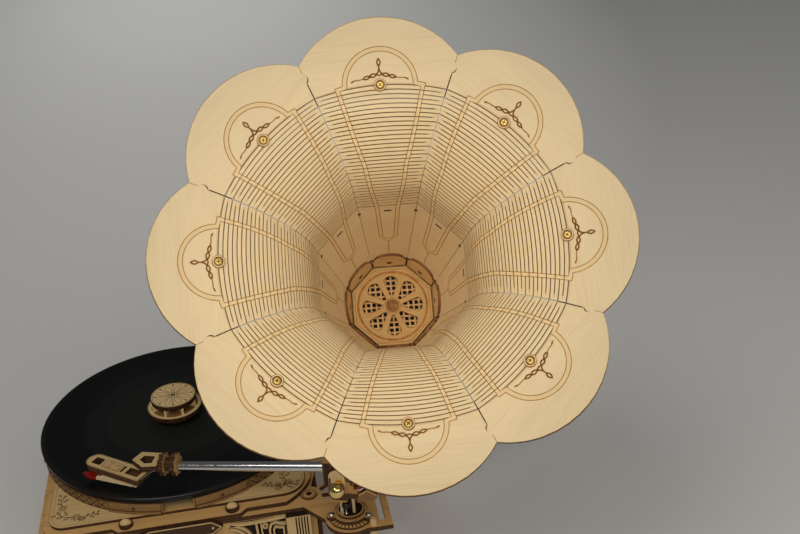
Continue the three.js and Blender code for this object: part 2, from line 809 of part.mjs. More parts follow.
function spindle() {
  const bottom = plyThickness + bearingFootHeight + plyThickness / 2;
  return named('spindle', rod(spindleRadius, bottom, recordTop + spindleTopRise, coarseFacets), steel);
}

// A two-storey weight on a small foot, which sits on the record round the spindle's top
function recordClamp() {
  const footBottom = recordTop + runningGap;
  const baseBottom = footBottom + clampFootHeight;
  const baseTop = baseBottom + clampBaseHeight;
  const neckTop = baseTop + clampNeckHeight;
  const foot = tube(clampFootRadius, boreRadius, footBottom, baseBottom + cutOverrun, middleFacets);
  const base = tube(clampBaseRadius, boreRadius, baseBottom, baseTop, fineFacets);
  const neck = tube(clampNeckRadius, boreRadius, baseTop - cutOverrun, neckTop, middleFacets);
  const fins = [];
  for (let i = 0; i < clampFinCount; i += 1) {
    const reach = clampBaseRadius - clampNeckRadius - clampFinDepth / 2;
    const fin = brick(reach, clampFinWidth, clampFinDepth * 2, clampNeckRadius + reach / 2, 0, baseTop);
    fins.push(fin.rotateZ((i + 1 / 2) * Math.PI * 2 / clampFinCount));
  }
  const capBottom = neckTop;
  const capTop = capBottom + clampCapHeight;
  const boreTop = Math.max(recordTop + spindleTopRise + runningGap, capBottom);
  const cap = cutFrom(rod(clampCapRadius, capBottom, capTop, fineFacets),
    rod(boreRadius, capBottom - cutOverrun, boreTop, coarseFacets));
  return [named('clamp_base', joined(base, foot, neck, ...fins), lightPly), named('clamp_cap', cap, lightPly)];
}

// Drive train

function governorPlace() {
  const distance = platterGearPitchRadius + governorPitchRadius;
  return new THREE.Vector2(distance * Math.cos(governorAngle), distance * Math.sin(governorAngle));
}

function spindleBearing() {
  const footTop = plyThickness + bearingFootHeight;
  const top = crownDiscBottom() - crownHubHeight - bearingTopGap;
  const boreBottom = footTop + plyThickness / 2 - runningGap;
  const profile = [
    [0, plyThickness], [bearingFootRadius, plyThickness], [bearingFootRadius, footTop],
    [bearingRadius, footTop], [bearingRadius, top], [boreRadius, top],
    [boreRadius, boreBottom], [0, boreBottom],
  ];
  return named('spindle_bearing', turned(profile), tanPly);
}

function crownPitchHeight() {
  return crankAxisHeight - crankPinionPitchRadius;
}

function crownDiscBottom() {
  return crownPitchHeight() - crownDedendum - crownDiscThickness;
}

function crownWheel() {
  const discBottom = crownDiscBottom();
  const discTop = discBottom + crownDiscThickness;
  const outer = crownPitchRadius + crownFaceWidth / 2;
  const inner = crownPitchRadius - crownFaceWidth / 2;
  const disc = rod(outer + crownRimWidth, discBottom, discTop, crownTeeth);
  const hub = rod(bearingRadius, discBottom - crownHubHeight, discBottom + cutOverrun, coarseFacets);
  const bore = rod(boreRadius, 0, crankAxisHeight, coarseFacets);
  const halfTooth = gearToothShare * Math.PI / crownTeeth;
  const toothTop = crownPitchHeight() + crownAddendum;
  const teeth = [];
  for (let tooth = 0; tooth < crownTeeth; tooth += 1) {
    const middle = tooth * Math.PI * 2 / crownTeeth;
    teeth.push(crownTooth(inner, outer, middle, halfTooth, discTop - cutOverrun, toothTop));
  }
  return named('crown_wheel', cutFrom(joined(disc, hub, ...teeth), bore), tanPly);
}

// An upright tooth on the crown wheel: wide at its foot and narrow at its tip
function crownTooth(inner, outer, middle, halfTooth, bottom, top) {
  const levels = [[bottom, toothRootShare], [top, toothTipShare]];
  const corners = [];
  for (const [height, widthShare] of levels) {
    for (const [radius, side] of [[inner, -1], [outer, -1], [outer, 1], [inner, 1]]) {
      const angle = middle + side * widthShare * halfTooth;
      corners.push(radius * Math.cos(angle), radius * Math.sin(angle), height);
    }
  }
  const geometry = new THREE.BufferGeometry();
  geometry.setAttribute('position', new THREE.Float32BufferAttribute(corners, 3));
  geometry.setIndex([
    0, 2, 1, 0, 3, 2, 4, 5, 6, 4, 6, 7, 0, 1, 5, 0, 5, 4,
    1, 2, 6, 1, 6, 5, 2, 3, 7, 2, 7, 6, 3, 0, 4, 3, 4, 7,
  ]);
  return geometry;
}

function platterGear() {
  const pitchRadius = platterGearPitchRadius;
  const shape = gearOutline(platterGearTeeth, pitchRadius, spurAddendum, spurDedendum, governorAngle);
  const holes = [circle(0, 0, boreRadius)];
  for (let i = 0; i < platterGearHoleCount; i += 1) {
    const angle = i * Math.PI * 2 / platterGearHoleCount;
    const x = platterGearHoleRing * Math.cos(angle);
    const y = platterGearHoleRing * Math.sin(angle);
    holes.push(circle(x, y, platterGearHoleRadius));
  }
  return named('platter_gear', pierced(shape, holes, platterGearHeight, platterGearThickness), lightPly);
}

function governorRotor() {
  const pitch = Math.PI * 2 / governorTeeth;
  const phase = governorAngle + Math.PI + pitch / 2;
  const outline = gearOutline(governorTeeth, governorPitchRadius, spurAddendum, spurDedendum, phase);
  const pinionBottom = platterGearHeight - plyThickness / 2;
  const pinion = plate(outline, pinionBottom, platterGearThickness + plyThickness);
  const shaftBottom = plyThickness + runningGap;
  const shaft = rod(governorShaftRadius, shaftBottom, pinionBottom + cutOverrun, coarseFacets);
  const wheelTop = governorFlywheelHeight + governorFlywheelThickness;
  const wheel = rod(governorFlywheelRadius, governorFlywheelHeight, wheelTop, fineFacets);
  const geometry = joined(pinion, shaft, wheel);
  const place = governorPlace();
  return named('governor_rotor', geometry.translate(place.x, place.y, 0), brass);
}

// Pieces on the crank's axis are drawn with Z along the axis, then laid down pointing right
function alongCrank(geometry) {
  return geometry.rotateY(Math.PI / 2).translate(0, 0, crankAxisHeight);
}

function crankParts() {
  const armLeft = boxHalfWidth + crankArmStandoff;
  const armRight = armLeft + crankArmThickness;
  const shaft = rod(crankShaftRadius, crankShaftInnerEnd, armLeft - runningGap, coarseFacets);
  const pinionCentre = crownPitchRadius;
  const phase = Math.PI / crankPinionTeeth;
  const outline = gearOutline(crankPinionTeeth, crankPinionPitchRadius, crownAddendum, crownDedendum, phase);
  const bore = [circle(0, 0, crankShaftRadius + runningGap)];
  const pinion = pierced(outline, bore, pinionCentre - crankPinionWidth / 2, crankPinionWidth);
  const bushLeft = boxHalfWidth - crankBushLength;
  const flange = boxHalfWidth + crankBushFlangeThickness;
  const bushBore = crankShaftRadius + runningGap;
  const bush = [
    [bushBore, bushLeft], [crankBushRadius, bushLeft], [crankBushRadius, boxHalfWidth],
    [crankBushFlangeRadius, boxHalfWidth], [crankBushFlangeRadius, flange], [bushBore, flange],
  ];
  return [
    named('crank_shaft', alongCrank(shaft), steel),
    named('crank_pinion', alongCrank(pinion), lightPly),
    named('crank_bush', alongCrank(turned([...bush, bush[0]])), tanPly),
    crankArm(armLeft),
    crankGrip(armRight),
  ];
}

// The arm hangs straight down from the shaft and carries the pin that the grip turns on
function crankArm(armLeft) {
  const half = crankArmWidth / 2;
  const shape = new THREE.Shape();
  shape.absarc(0, 0, half, 0, Math.PI);
  shape.absarc(0, -crankArmLength, half * crankArmEndShare, Math.PI, Math.PI * 2);
  const arm = plate(shape, 0, crankArmThickness);
  const pinEnd = crankArmThickness + crankGripLength + 2 * runningGap;
  const pin = rod(crankPinRadius, crankArmThickness - cutOverrun, pinEnd + crankPinHeadLength, coarseFacets);
  const head = rod(crankPinHeadRadius, pinEnd, pinEnd + crankPinHeadLength, coarseFacets);
  pin.translate(0, -crankArmLength, 0);
  head.translate(0, -crankArmLength, 0);
  const geometry = joined(arm, pin, head).rotateX(Math.PI / 2).rotateZ(Math.PI / 2);
  geometry.translate(armLeft, 0, crankAxisHeight);
  return named('crank_arm', geometry, tanPly);
}

function crankGrip(armRight) {
  const bore = crankPinRadius + runningGap;
  const end = crankGripLength;
  const profile = [
    [bore, 0], [crankGripNeckRadius, 0], [crankGripNeckRadius, end / 8], [crankGripRadius, end / 3],
    [crankGripRadius, end * 2 / 3], [crankGripNeckRadius, end], [bore, end],
  ];
  const grip = turned([...profile, profile[0]]).rotateY(Math.PI / 2);
  grip.translate(armRight + runningGap, 0, crankAxisHeight - crankArmLength);
  return named('crank_grip', grip, darkPly);
}

// Tonearm: its frame has X pointing along the arm from the pivot and Z up, zero at the record's surface

function armFrame() {
  const group = new THREE.Group();
  group.position.set(armCentre.x, armCentre.y, recordTop);
  group.rotation.z = armAzimuth;
  return group;
}

function dialParts() {
  const scaleTop = deckFrameTop + dialScaleThickness;
  const collarTop = scaleTop + dialCollarHeight;
  const scale = tube(dialScaleRadius, dialScaleInnerRadius, deckFrameTop, scaleTop, fineFacets);
  const rimTop = collarTop + dialRimHeight;
  const ring = [
    [dialWellRadius, scaleTop], [dialCollarRadius, scaleTop], [dialCollarRadius, collarTop],
    [dialRimRadius, collarTop], [dialRimRadius, rimTop], [dialWellRadius, rimTop],
  ];
  const ears = [];
  for (const side of [-1, 1]) {
    const angle = dialTurn - Math.PI / 2 + side * dialEarSpread;
    const ear = tube(dialEarRadius, dialEarRadius / 3, scaleTop, collarTop, coarseFacets);
    ears.push(ear.translate(dialEarDistance * Math.cos(angle), dialEarDistance * Math.sin(angle), 0));
  }
  const well = rod(dialWellRadius, scaleTop - cutOverrun, rimTop + cutOverrun, fineFacets);
  const collar = cutFrom(joined(turned([...ring, ring[0]], fineFacets), ...ears), well);
  const group = new THREE.Group();
  group.position.set(armCentre.x, armCentre.y, 0);
  group.add(named('dial_scale', scale, lightPly), named('dial_collar', collar, tanPly), dialPendant());
  return group;
}

// The turned drop under the bracket below the dial
function dialPendant() {
  const profile = pendantProfileShares.map(([radiusShare, dropShare]) => (
    [pendantRadius * radiusShare, deckFrameBottom - pendantLength * dropShare]
  ));
  return named('dial_pendant', turned(profile), darkPly);
}

// The piece that turns in the dial and holds the tonearm's axle between two cheeks
function armYoke() {
  const floor = deckFrameTop - recordTop + runningGap;
  const disc = rod(dialWellRadius - runningGap, floor, floor + yokeDiscThickness, middleFacets);
  const stem = rod(yokeStemRadius, floor, yokeBridgeRise + cutOverrun, coarseFacets);
  const cheekMiddle = blockWidth / 2 + runningGap + yokeCheekThickness / 2;
  const bridgeWidth = 2 * (cheekMiddle + yokeCheekThickness / 2);
  const bridgeMiddle = yokeBridgeRise + yokeBridgeThickness / 2;
  const bridge = brick(yokeCheekLength, bridgeWidth, yokeBridgeThickness, 0, 0, bridgeMiddle);
  const uppers = [bridge];
  for (const side of [-1, 1]) {
    const outline = new THREE.Shape();
    outline.moveTo(-yokeCheekLength / 2, yokeBridgeRise);
    outline.lineTo(yokeCheekLength / 2, yokeBridgeRise);
    outline.absarc(0, armAxleRise, yokeCheekLength / 2, 0, Math.PI);
    const bore = [circle(0, armAxleRise, armAxleRadius + runningGap)];
    uppers.push(upright(outline, yokeCheekThickness, side * cheekMiddle - yokeCheekThickness / 2, bore));
  }
  const upper = joined(...uppers).translate(armAxleAhead, -armLineAside, 0);
  return named('arm_yoke', joined(disc, stem, upper), tanPly);
}

function armAxle() {
  const outer = blockWidth / 2 + runningGap + yokeCheekThickness;
  const back = outer + armNutLength;
  const shaft = rod(armAxleRadius, -back, outer + armNutLength + cutOverrun, coarseFacets);
  const nut = rod(armNutRadius, outer + runningGap, outer + armNutLength, nutFacets);
  const backNut = rod(armNutRadius, -back, -outer - runningGap, nutFacets);
  const ball = new THREE.SphereGeometry(armBallRadius, coarseFacets, coarseFacets / 2);
  ball.translate(0, 0, outer + armNutLength + armBallRadius);
  const geometry = joined(shaft, nut, backNut, ball).rotateX(-Math.PI / 2);
  return named('arm_axle', geometry.translate(0, 0, armAxleRise), brass);
}

function tubeTilt() {
  return Math.asin(armDip / armLength);
}

// Lays a piece drawn with Z along the arm's tube from the pivot outwards
function alongTube(geometry) {
  return geometry.rotateY(Math.PI / 2 + tubeTilt()).translate(0, 0, armPivotRise);
}

function pivotBlock() {
  const half = blockLength / 2;
  const middle = (armAxleRise + armPivotRise) / 2;
  const block = brick(blockLength, blockWidth, blockHeight, 0, 0, middle);
  const socket = rod(armTubeRadius + runningGap, half - tubeSocketDepth, half + blockLength, coarseFacets);
  const bore = rod(armAxleRadius + runningGap, -blockWidth, blockWidth, coarseFacets).rotateX(Math.PI / 2);
  bore.translate(0, 0, armAxleRise);
  return named('pivot_block', cutFrom(block, alongTube(socket), bore), tanPly);
}

function armTube() {
  const start = blockLength / 2 - tubeSocketDepth + 2 * runningGap;
  const innerRadius = armTubeRadius - armTubeWall;
  const geometry = tube(armTubeRadius, innerRadius, start, armLength - runningGap, middleFacets);
  return named('arm_tube', alongTube(geometry), steel);
}

function counterweight() {
  const shape = new THREE.Shape();
  shape.moveTo(0, -weightHeight / 2);
  shape.lineTo(weightLength - weightHeight / 2, -weightHeight / 2);
  shape.absarc(weightLength - weightHeight / 2, 0, weightHeight / 2, -Math.PI / 2, Math.PI / 2);
  shape.lineTo(0, weightHeight / 2);
  const geometry = upright(shape, weightWidth, -weightWidth / 2).rotateY(-weightTilt).rotateZ(Math.PI);
  const start = blockLength / 2 + runningGap + Math.sin(weightTilt) * weightHeight / 2;
  geometry.translate(-start, 0, armAxleRise - weightHeight / 2);
  return named('counterweight', geometry, darkPly);
}

function scallopedOutline() {
  const shape = new THREE.Shape();
  const steps = couplingLobeCount * 4;
  for (let i = 0; i < steps; i += 1) {
    const angle = i * Math.PI * 2 / steps;
    const radius = couplingDiscRadius - couplingLobeDepth * (1 - Math.cos(couplingLobeCount * angle)) / 2;
    const point = [radius * Math.cos(angle), radius * Math.sin(angle)];
    if (i === 0) shape.moveTo(...point);
    else shape.lineTo(...point);
  }
  return shape;
}

function armCoupling() {
  const first = plate(scallopedOutline(), armLength, couplingDiscThickness);
  const gapEnd = armLength + couplingDiscThickness + couplingCoreLength;
  const second = plate(scallopedOutline(), gapEnd, couplingDiscThickness);
  const core = rod(couplingCoreRadius, armLength + cutOverrun, gapEnd + cutOverrun, coarseFacets);
  return named('arm_coupling', alongTube(joined(first, second, core)), tanPly);
}

// Where the headshell's own frame starts: X along the headshell, at the coupling's outer face
function headshellFrame() {
  const group = new THREE.Group();
  const reach = armLength + 2 * couplingDiscThickness + couplingCoreLength + 2 * runningGap;
  const level = armPivotRise - reach * Math.sin(tubeTilt());
  group.position.set(reach * Math.cos(tubeTilt()), 0, level);
  return group;
}

// The five-sided frame between the coupling and the headshell, with a window of its own shape
function headshellBracket(bottom) {
  const half = legWidth / 2;
  const corners = [
    [0, -half], [legLength - half / 2, -half], [legLength, legFlare],
    [legLength / 2, half + legFlare], [0, half],
  ];
  const middle = [legLength / 2 - softCornerRadius, legFlare / 2];
  const inner = corners.map((corner) => (
    new THREE.Vector2(...corner.map((value, i) => middle[i] + (value - middle[i]) * legWindowShare))
  ));
  const outline = new THREE.Shape(corners.map((corner) => new THREE.Vector2(...corner)));
  const bracket = pierced(outline, [new THREE.Shape(inner)], bottom, headshellThickness);
  return named('headshell_bracket', bracket, tanPly);
}

function headshellParts() {
  const frame = headshellFrame();
  const drop = headshellRise - frame.position.z;
  frame.add(headshellBracket(drop + headshellThickness));

  const shell = new THREE.Group();
  shell.rotation.z = headshellOffset;
  shell.position.set(headshellAhead, headshellAside, drop);
  const side = headshellWidth / 2;
  const slotSide = side / 2;
  const noseCentre = headshellLength - side;
  const outline = new THREE.Shape();
  outline.moveTo(0, -side);
  outline.lineTo(noseCentre, -side);
  outline.absarc(noseCentre, 0, side, -Math.PI / 2, Math.PI / 2);
  outline.lineTo(0, side);
  const holes = [headshellNoseHole, headshellBarHole, headshellPocket].map(([start, end]) => (
    roundedRectangle(start, -slotSide, end, slotSide, softCornerRadius)
  ));
  shell.add(named('headshell', pierced(outline, holes, 0, headshellThickness - runningGap), lightPly));
  shell.add(cartridge());
  frame.add(shell);
  return frame;
}

// A strip that hangs under the headshell by a post at its inner end and carries the stylus at the other
function cartridge() {
  const top = -cartridgeDrop;
  const low = top - cartridgeThickness;
  const width = cartridgeWidth;
  const strip = brick(cartridgeLength, width, cartridgeThickness, cartridgeLength / 2, 0, (top + low) / 2);
  const postHeight = cartridgeDrop + cartridgeThickness / 2;
  const postMiddle = -runningGap - postHeight / 2;
  const post = brick(cartridgePostLength, width, postHeight, cartridgePostLength / 2, 0, postMiddle);
  const bodyStart = cartridgeLength - cartridgeThickness;
  const bodyMiddle = bodyStart + stylusBodyLength / 2;
  const bodyHeight = cartridgeThickness + stylusBodyDrop;
  const body = brick(stylusBodyLength, width, bodyHeight, bodyMiddle, 0, top - bodyHeight / 2);
  const tipEnd = runningGap - headshellRise;
  const tipTop = tipEnd + stylusTipRadius;
  const tip = turned([[0, tipEnd], [stylusTipRadius, tipTop], [stylusTipRadius, low], [0, low]], tipFacets);
  tip.translate(bodyMiddle, 0, 0);
  const geometry = joined(strip, post, body, tip).rotateZ(cartridgeTurn);
  return named('cartridge', geometry.translate(cartridgeStart, cartridgeAside, 0), redPlastic);
}

// Horn

function seamShare() {
  return Math.cos(Math.PI / petalCount);
}

// Radius of a petal's middle line, height along the axis and slope, at a length from the throat
function petalLine(length) {
  const straight = Math.min(length, petalStraightLength);
  let radius = throatCircumradius * seamShare() + straight * Math.sin(petalStartSlope);
  let height = straight * Math.cos(petalStartSlope);
  const bend = Math.min(Math.max(length - petalStraightLength, 0), petalBendLength);
  const rate = (petalEndSlope - petalStartSlope) / petalBendLength;
  const slope = petalStartSlope + rate * bend;
  radius += (Math.cos(petalStartSlope) - Math.cos(slope)) / rate;
  height += (Math.sin(slope) - Math.sin(petalStartSlope)) / rate;
  const flat = Math.max(length - petalStraightLength - petalBendLength, 0);
  radius += flat * Math.sin(petalEndSlope);
  height += flat * Math.cos(petalEndSlope);
  return { radius, height, slope };
}

// A petal is a bent plate: rows run across it, columns from the throat to its round outer edge
function petalGeometry() {
  const notchLength = petalStraightLength + petalBendLength + petalRimLength;
  const notch = petalLine(notchLength);
  const half = Math.tan(Math.PI / petalCount);
  const notchHalfWidth = notch.radius * half - seamGap / 2;
  const edgeRadius = (notchHalfWidth ** 2 + petalLobeRise ** 2) / (2 * petalLobeRise);
  const edgeAngle = Math.asin(notchHalfWidth / edgeRadius);
  const lengths = [0];
  for (let i = 0; i <= petalBendSteps; i += 1) {
    lengths.push(petalStraightLength + petalBendLength * i / petalBendSteps);
  }
  lengths.push(notchLength);
  const rows = lengths.length + 1;
  const positions = [];
  for (const depth of [0, petalThickness]) {
    for (let row = 0; row < rows; row += 1) {
      for (let column = 0; column <= petalColumns; column += 1) {
        const angle = edgeAngle * (2 * column / petalColumns - 1);
        const onEdge = row === lengths.length;
        const edgeLength = notchLength + petalLobeRise - edgeRadius * (1 - Math.cos(angle));
        const line = petalLine(onEdge ? edgeLength : lengths[row]);
        const widthShare = Math.sin(angle) / Math.sin(edgeAngle);
        const halfWidth = onEdge ? notchHalfWidth : line.radius * half - seamGap / 2;
        positions.push(
          halfWidth * widthShare,
          line.radius + depth * Math.cos(line.slope),
          line.height - depth * Math.sin(line.slope),
        );
      }
    }
  }
  return gridPlate(positions, rows, petalColumns + 1);
}

// Closes two grids of points, one behind the other, into a plate
function gridPlate(positions, rows, columns) {
  const back = rows * columns;
  const index = [];
  const quad = (a, b, c, d) => index.push(a, b, c, a, c, d);
  for (let row = 0; row < rows - 1; row += 1) {
    for (let column = 0; column < columns - 1; column += 1) {
      const a = row * columns + column;
      quad(a, a + 1, a + columns + 1, a + columns);
      quad(back + a, back + a + columns, back + a + columns + 1, back + a + 1);
    }
    const left = row * columns;
    const right = left + columns - 1;
    quad(left, left + columns, back + left + columns, back + left);
    quad(right, back + right, back + right + columns, right + columns);
  }
  const last = (rows - 1) * columns;
  for (let column = 0; column < columns - 1; column += 1) {
    quad(column, back + column, back + column + 1, column + 1);
    quad(last + column, last + column + 1, back + last + column + 1, back + last + column);
  }
  const geometry = new THREE.BufferGeometry();
  geometry.setAttribute('position', new THREE.Float32BufferAttribute(positions, 3));
  geometry.setIndex(index);
  return geometry;
}

// An eight-sided ring whose profile is given at the middle of its sides
function octagonal(profile) {
  const points = profile.map(([radius, height]) => [radius / seamShare(), height]);
  return turned(points, petalCount, Math.PI / petalCount);
}

function hoop() {
  const bendEnd = petalStraightLength + petalBendLength;
  const profile = [];
  const depths = [petalThickness + runningGap, petalThickness + runningGap + hoopThickness];
  for (const [length, depth] of [
    [bendEnd - hoopInnerReach, depths[1]], [bendEnd + hoopOuterReach, depths[1]],
    [bendEnd + hoopOuterReach, depths[0]], [bendEnd - hoopInnerReach, depths[0]],
  ]) {
    const line = petalLine(bendEnd);
    const along = length - bendEnd;
    profile.push([
      line.radius + along * Math.sin(line.slope) + depth * Math.cos(line.slope),
      line.height + along * Math.cos(line.slope) - depth * Math.sin(line.slope),
    ]);
  }
  return named('horn_hoop', octagonal([...profile, profile[0]]), tanPly);
}

function crownOuter() {
  return throatCircumradius * seamShare() - runningGap;
}

function crownFloor() {
  return -grilleRecess - grilleThickness - gauzeSpace;
}

function throatCrown() {
  const outer = crownOuter();
  const inner = outer - crownWall;
  const ring = [[inner, crownFloor()], [outer, crownFloor()], [outer, 0], [inner, 0]];
  const sideHalf = inner * Math.tan(Math.PI / petalCount);
  const lobes = [];
  for (let i = 0; i < petalCount; i += 1) {
    const shape = new THREE.Shape();
    shape.moveTo(-sideHalf, -grilleRecess / 2);
    shape.lineTo(sideHalf, -grilleRecess / 2);
    shape.lineTo(sideHalf, 0);
    shape.absellipse(0, 0, sideHalf, crownLobeRise, 0, Math.PI);
    const hole = [circle(0, crownLobeRise / 2, crownLobeHoleRadius, arcSteps)];
    const lobe = pierced(shape, hole, 0, crownWall).rotateX(Math.PI / 2).translate(0, outer, 0);
    lobes.push(lobe.rotateZ(i * Math.PI * 2 / petalCount));
  }
  return named('throat_crown', joined(octagonal([...ring, ring[0]]), ...lobes), tanPly);
}

function throatCollar() {
  const inner = crownOuter() + runningGap;
  const outer = inner + collarWall;
  const ledgeTop = crownFloor() - runningGap;
  const ledgeBottom = ledgeTop - collarLedgeThickness;
  const petalFoot = -petalThickness * Math.sin(petalStartSlope) - runningGap;
  const profile = [
    [collarLedgeRadius, ledgeBottom], [outer, ledgeBottom], [outer, petalFoot], [inner, petalFoot],
    [inner, ledgeTop], [collarLedgeRadius, ledgeTop],
  ];
  return named('throat_collar', octagonal([...profile, profile[0]]), tanPly);
}

function collarBottom() {
  return crownFloor() - runningGap - collarLedgeThickness;
}

// One drop-shaped opening of the grille, pointed at its inner end
function grilleOpening(angle) {
  const half = grilleOpeningWidth / 2;
  const roundCentre = grilleOpeningOuterRadius - half;
  const tangent = Math.acos(half / (roundCentre - grilleOpeningInnerRadius));
  const shape = new THREE.Shape();
  const along = new THREE.Vector2(Math.cos(angle), Math.sin(angle));
  shape.moveTo(along.x * grilleOpeningInnerRadius, along.y * grilleOpeningInnerRadius);
  shape.absarc(along.x * roundCentre, along.y * roundCentre, half, angle - Math.PI + tangent,
    angle + Math.PI - tangent);
  return shape;
}

function speakerGrille() {
  const radius = (crownOuter() - crownWall - runningGap) / seamShare();
  const corners = [];
  for (let i = 0; i < petalCount; i += 1) {
    const angle = (i + 1 / 2) * Math.PI * 2 / petalCount;
    corners.push(new THREE.Vector2(radius * Math.cos(angle), radius * Math.sin(angle)));
  }
  const shape = new THREE.Shape(corners);
  const holes = [circle(0, 0, grilleCentreHoleRadius)];
  for (let i = 0; i < grilleOpeningCount; i += 1) {
    holes.push(grilleOpening(i * Math.PI * 2 / grilleOpeningCount));
  }
  const bottom = -grilleRecess - grilleThickness;
  return named('speaker_grille', pierced(shape, holes, bottom, grilleThickness), tanPly);
}

function speakerDriver() {
  const top = collarBottom() - runningGap;
  const rimBottom = top - speakerRimThickness;
  const basketBottom = top - speakerBasketDepth;
  const end = basketBottom - speakerMagnetLength;
  const coneBottom = top - speakerConeDepth;
  const profile = [
    [0, end], [speakerMagnetRadius, end], [speakerMagnetRadius, basketBottom],
    [speakerBasketRadius, basketBottom], [speakerConeRadius, rimBottom], [speakerRimRadius, rimBottom],
    [speakerRimRadius, top], [speakerConeRadius, top], [speakerCapRadius, coneBottom],
    [0, coneBottom + speakerCapRise],
  ];
  return named('speaker_driver', turned(profile), blackPlastic);
}

function housingEnd() {
  return collarBottom() - runningGap - housingLength;
}

function speakerHousing() {
  const top = collarBottom() - runningGap;
  const outer = crownOuter() + runningGap + collarWall;
  const rimRoom = speakerRimRadius + runningGap;
  const step = top - speakerRimThickness - runningGap;
  const stepRadius = speakerRimRadius - housingWall / 2;
  const end = housingEnd();
  const profile = [
    [rimRoom, top], [rimRoom, step], [stepRadius, step], [stepRadius, top - housingStraight - housingWall],
    [neckLargeRadius - neckWall, end], [neckLargeRadius, end], [outer, top - housingStraight], [outer, top],
  ];
  return named('speaker_housing', octagonal([...profile, profile[0]]), tanPly);
}

// The neck's middle line runs from the housing's back end down to the socket on the bracket
function neckLine(hornGroup) {
  const start = hornGroup.localToWorld(new THREE.Vector3(0, 0, housingEnd() - runningGap));
  const backwards = new THREE.Vector3(0, 0, -1).applyQuaternion(hornGroup.quaternion);
  const end = new THREE.Vector3(neckCentre.x, neckCentre.y, deckFrameTop + socketHeight + runningGap);
  return new THREE.CubicBezierCurve3(
    start,
    start.clone().addScaledVector(backwards, neckUpperReach),
    end.clone().setZ(end.z + neckLowerReach),
    end,
  );
}

// A tapered pipe along a curve, made of rings of points that never twist
function neckPipe(curve) {
  const positions = [];
  const rings = neckSteps + 1;
  for (const wall of [0, neckWall]) {
    for (let i = 0; i < rings; i += 1) {
      const share = i / neckSteps;
      const centre = curve.getPoint(share);
      const tangent = curve.getTangent(share).normalize();
      const across = new THREE.Vector3(0, 1, 0).cross(tangent).normalize();
      const over = new THREE.Vector3().crossVectors(tangent, across);
      const radius = THREE.MathUtils.lerp(neckLargeRadius, neckSmallRadius, share) - wall;
      for (let side = 0; side <= neckSides; side += 1) {
        const angle = side * Math.PI * 2 / neckSides;
        const point = centre.clone().addScaledVector(across, radius * Math.cos(angle));
        positions.push(...point.addScaledVector(over, radius * Math.sin(angle)).toArray());
      }
    }
  }
  return gridPlate(positions, rings, neckSides + 1);
}

function neckSocket() {
  const top = deckFrameTop + socketHeight;
  const flangeTop = deckFrameTop + socketFlangeHeight;
  const profile = [
    [socketBoreRadius, deckFrameTop], [socketFlangeRadius, deckFrameTop], [socketFlangeRadius, flangeTop],
    [socketTubeRadius, flangeTop + socketFlangeHeight], [socketTubeRadius, top], [socketBoreRadius, top],
  ];
  const geometry = turned([...profile, profile[0]]).translate(neckCentre.x, neckCentre.y, 0);
  return named('neck_socket', geometry, tanPly);
}

function hornFrame() {
  const axis = new THREE.Vector3(
    -Math.sin(hornAzimuth) * Math.cos(hornElevation),
    -Math.cos(hornAzimuth) * Math.cos(hornElevation),
    Math.sin(hornElevation),
  );
  const right = new THREE.Vector3(Math.cos(hornAzimuth), -Math.sin(hornAzimuth), 0);
  const up = new THREE.Vector3().crossVectors(axis, right);
  const group = new THREE.Group();
  group.quaternion.setFromRotationMatrix(new THREE.Matrix4().makeBasis(right, up, axis));
  const height = deckFrameTop + throatRise;
  group.position.set(neckCentre.x + throatOutset, neckCentre.y - throatForward, height);
  group.updateMatrixWorld(true);
  return group;
}

function horn() {
  const group = hornFrame();
  const petal = petalGeometry();
  for (let i = 0; i < petalCount; i += 1) {
    const mesh = named(`horn_petal_${i + 1}`, petal, lightPly);
    mesh.rotation.z = -i * Math.PI * 2 / petalCount;
    group.add(mesh);
  }
  group.add(hoop(), throatCollar(), throatCrown(), speakerGrille(), speakerDriver(), speakerHousing());
  return group;
}

// Electronics in the box

function amplifierBoard() {
  const board = brick(boardLength, boardWidth, boardThickness, 0, 0, boardPostHeight + boardThickness / 2);
  const parts = [board];
  for (const x of [-1, 1]) {
    for (const y of [-1, 1]) {
      const post = rod(boardPostRadius, 0, boardPostHeight + boardThickness / 2, coarseFacets / 2);
      post.translate(x * (boardLength / 2 - boardPostRadius), y * (boardWidth / 2 - boardPostRadius), 0);
      parts.push(post);
    }
  }
  const chipMiddle = boardPostHeight + boardPartHeight / 2;
  parts.push(brick(boardLength / 4, boardWidth / 3, boardPartHeight, 0, 0, chipMiddle));
  const geometry = joined(...parts);
  const x = -boxHalfWidth + plyThickness + boardInset + boardLength / 2;
  const y = -boxHalfDepth + plyThickness + boardInset + boardWidth / 2;
  return named('amplifier_board', geometry.translate(x, y, plyThickness), greenBoard);
}

function batteryBox() {
  const outer = brick(batteryLength, batteryWidth, batteryHeight, 0, 0, batteryHeight / 2);
  const inner = brick(batteryLength - 2 * batteryWall, batteryWidth - 2 * batteryWall, batteryHeight, 0, 0,
    batteryHeight / 2 + batteryWall);
  const y = boxHalfDepth - plyThickness - batteryInset - batteryWidth / 2;
  return named('battery_box', cutFrom(outer, inner).translate(0, y, plyThickness), blackPlastic);
}

function box() {
  return [
    bottomPlate(), ...walls(), deckFrame(), deckPlate(), deckInlay(),
    surroundHalf('ring_left', -1), surroundHalf('ring_right', 1), ...pegs(),
    plaque(), frontScreen(), pilaster('pilaster_left', -1), pilaster('pilaster_right', 1),
    spindleBearing(), amplifierBoard(), batteryBox(), neckSocket(),
  ];
}

function tonearm() {
  const group = armFrame();
  const line = new THREE.Group();
  line.position.set(armAxleAhead, -armLineAside, 0);
  line.add(pivotBlock(), armTube(), armAxle(), counterweight(), armCoupling(), headshellParts());
  group.add(armYoke(), line);
  return group;
}

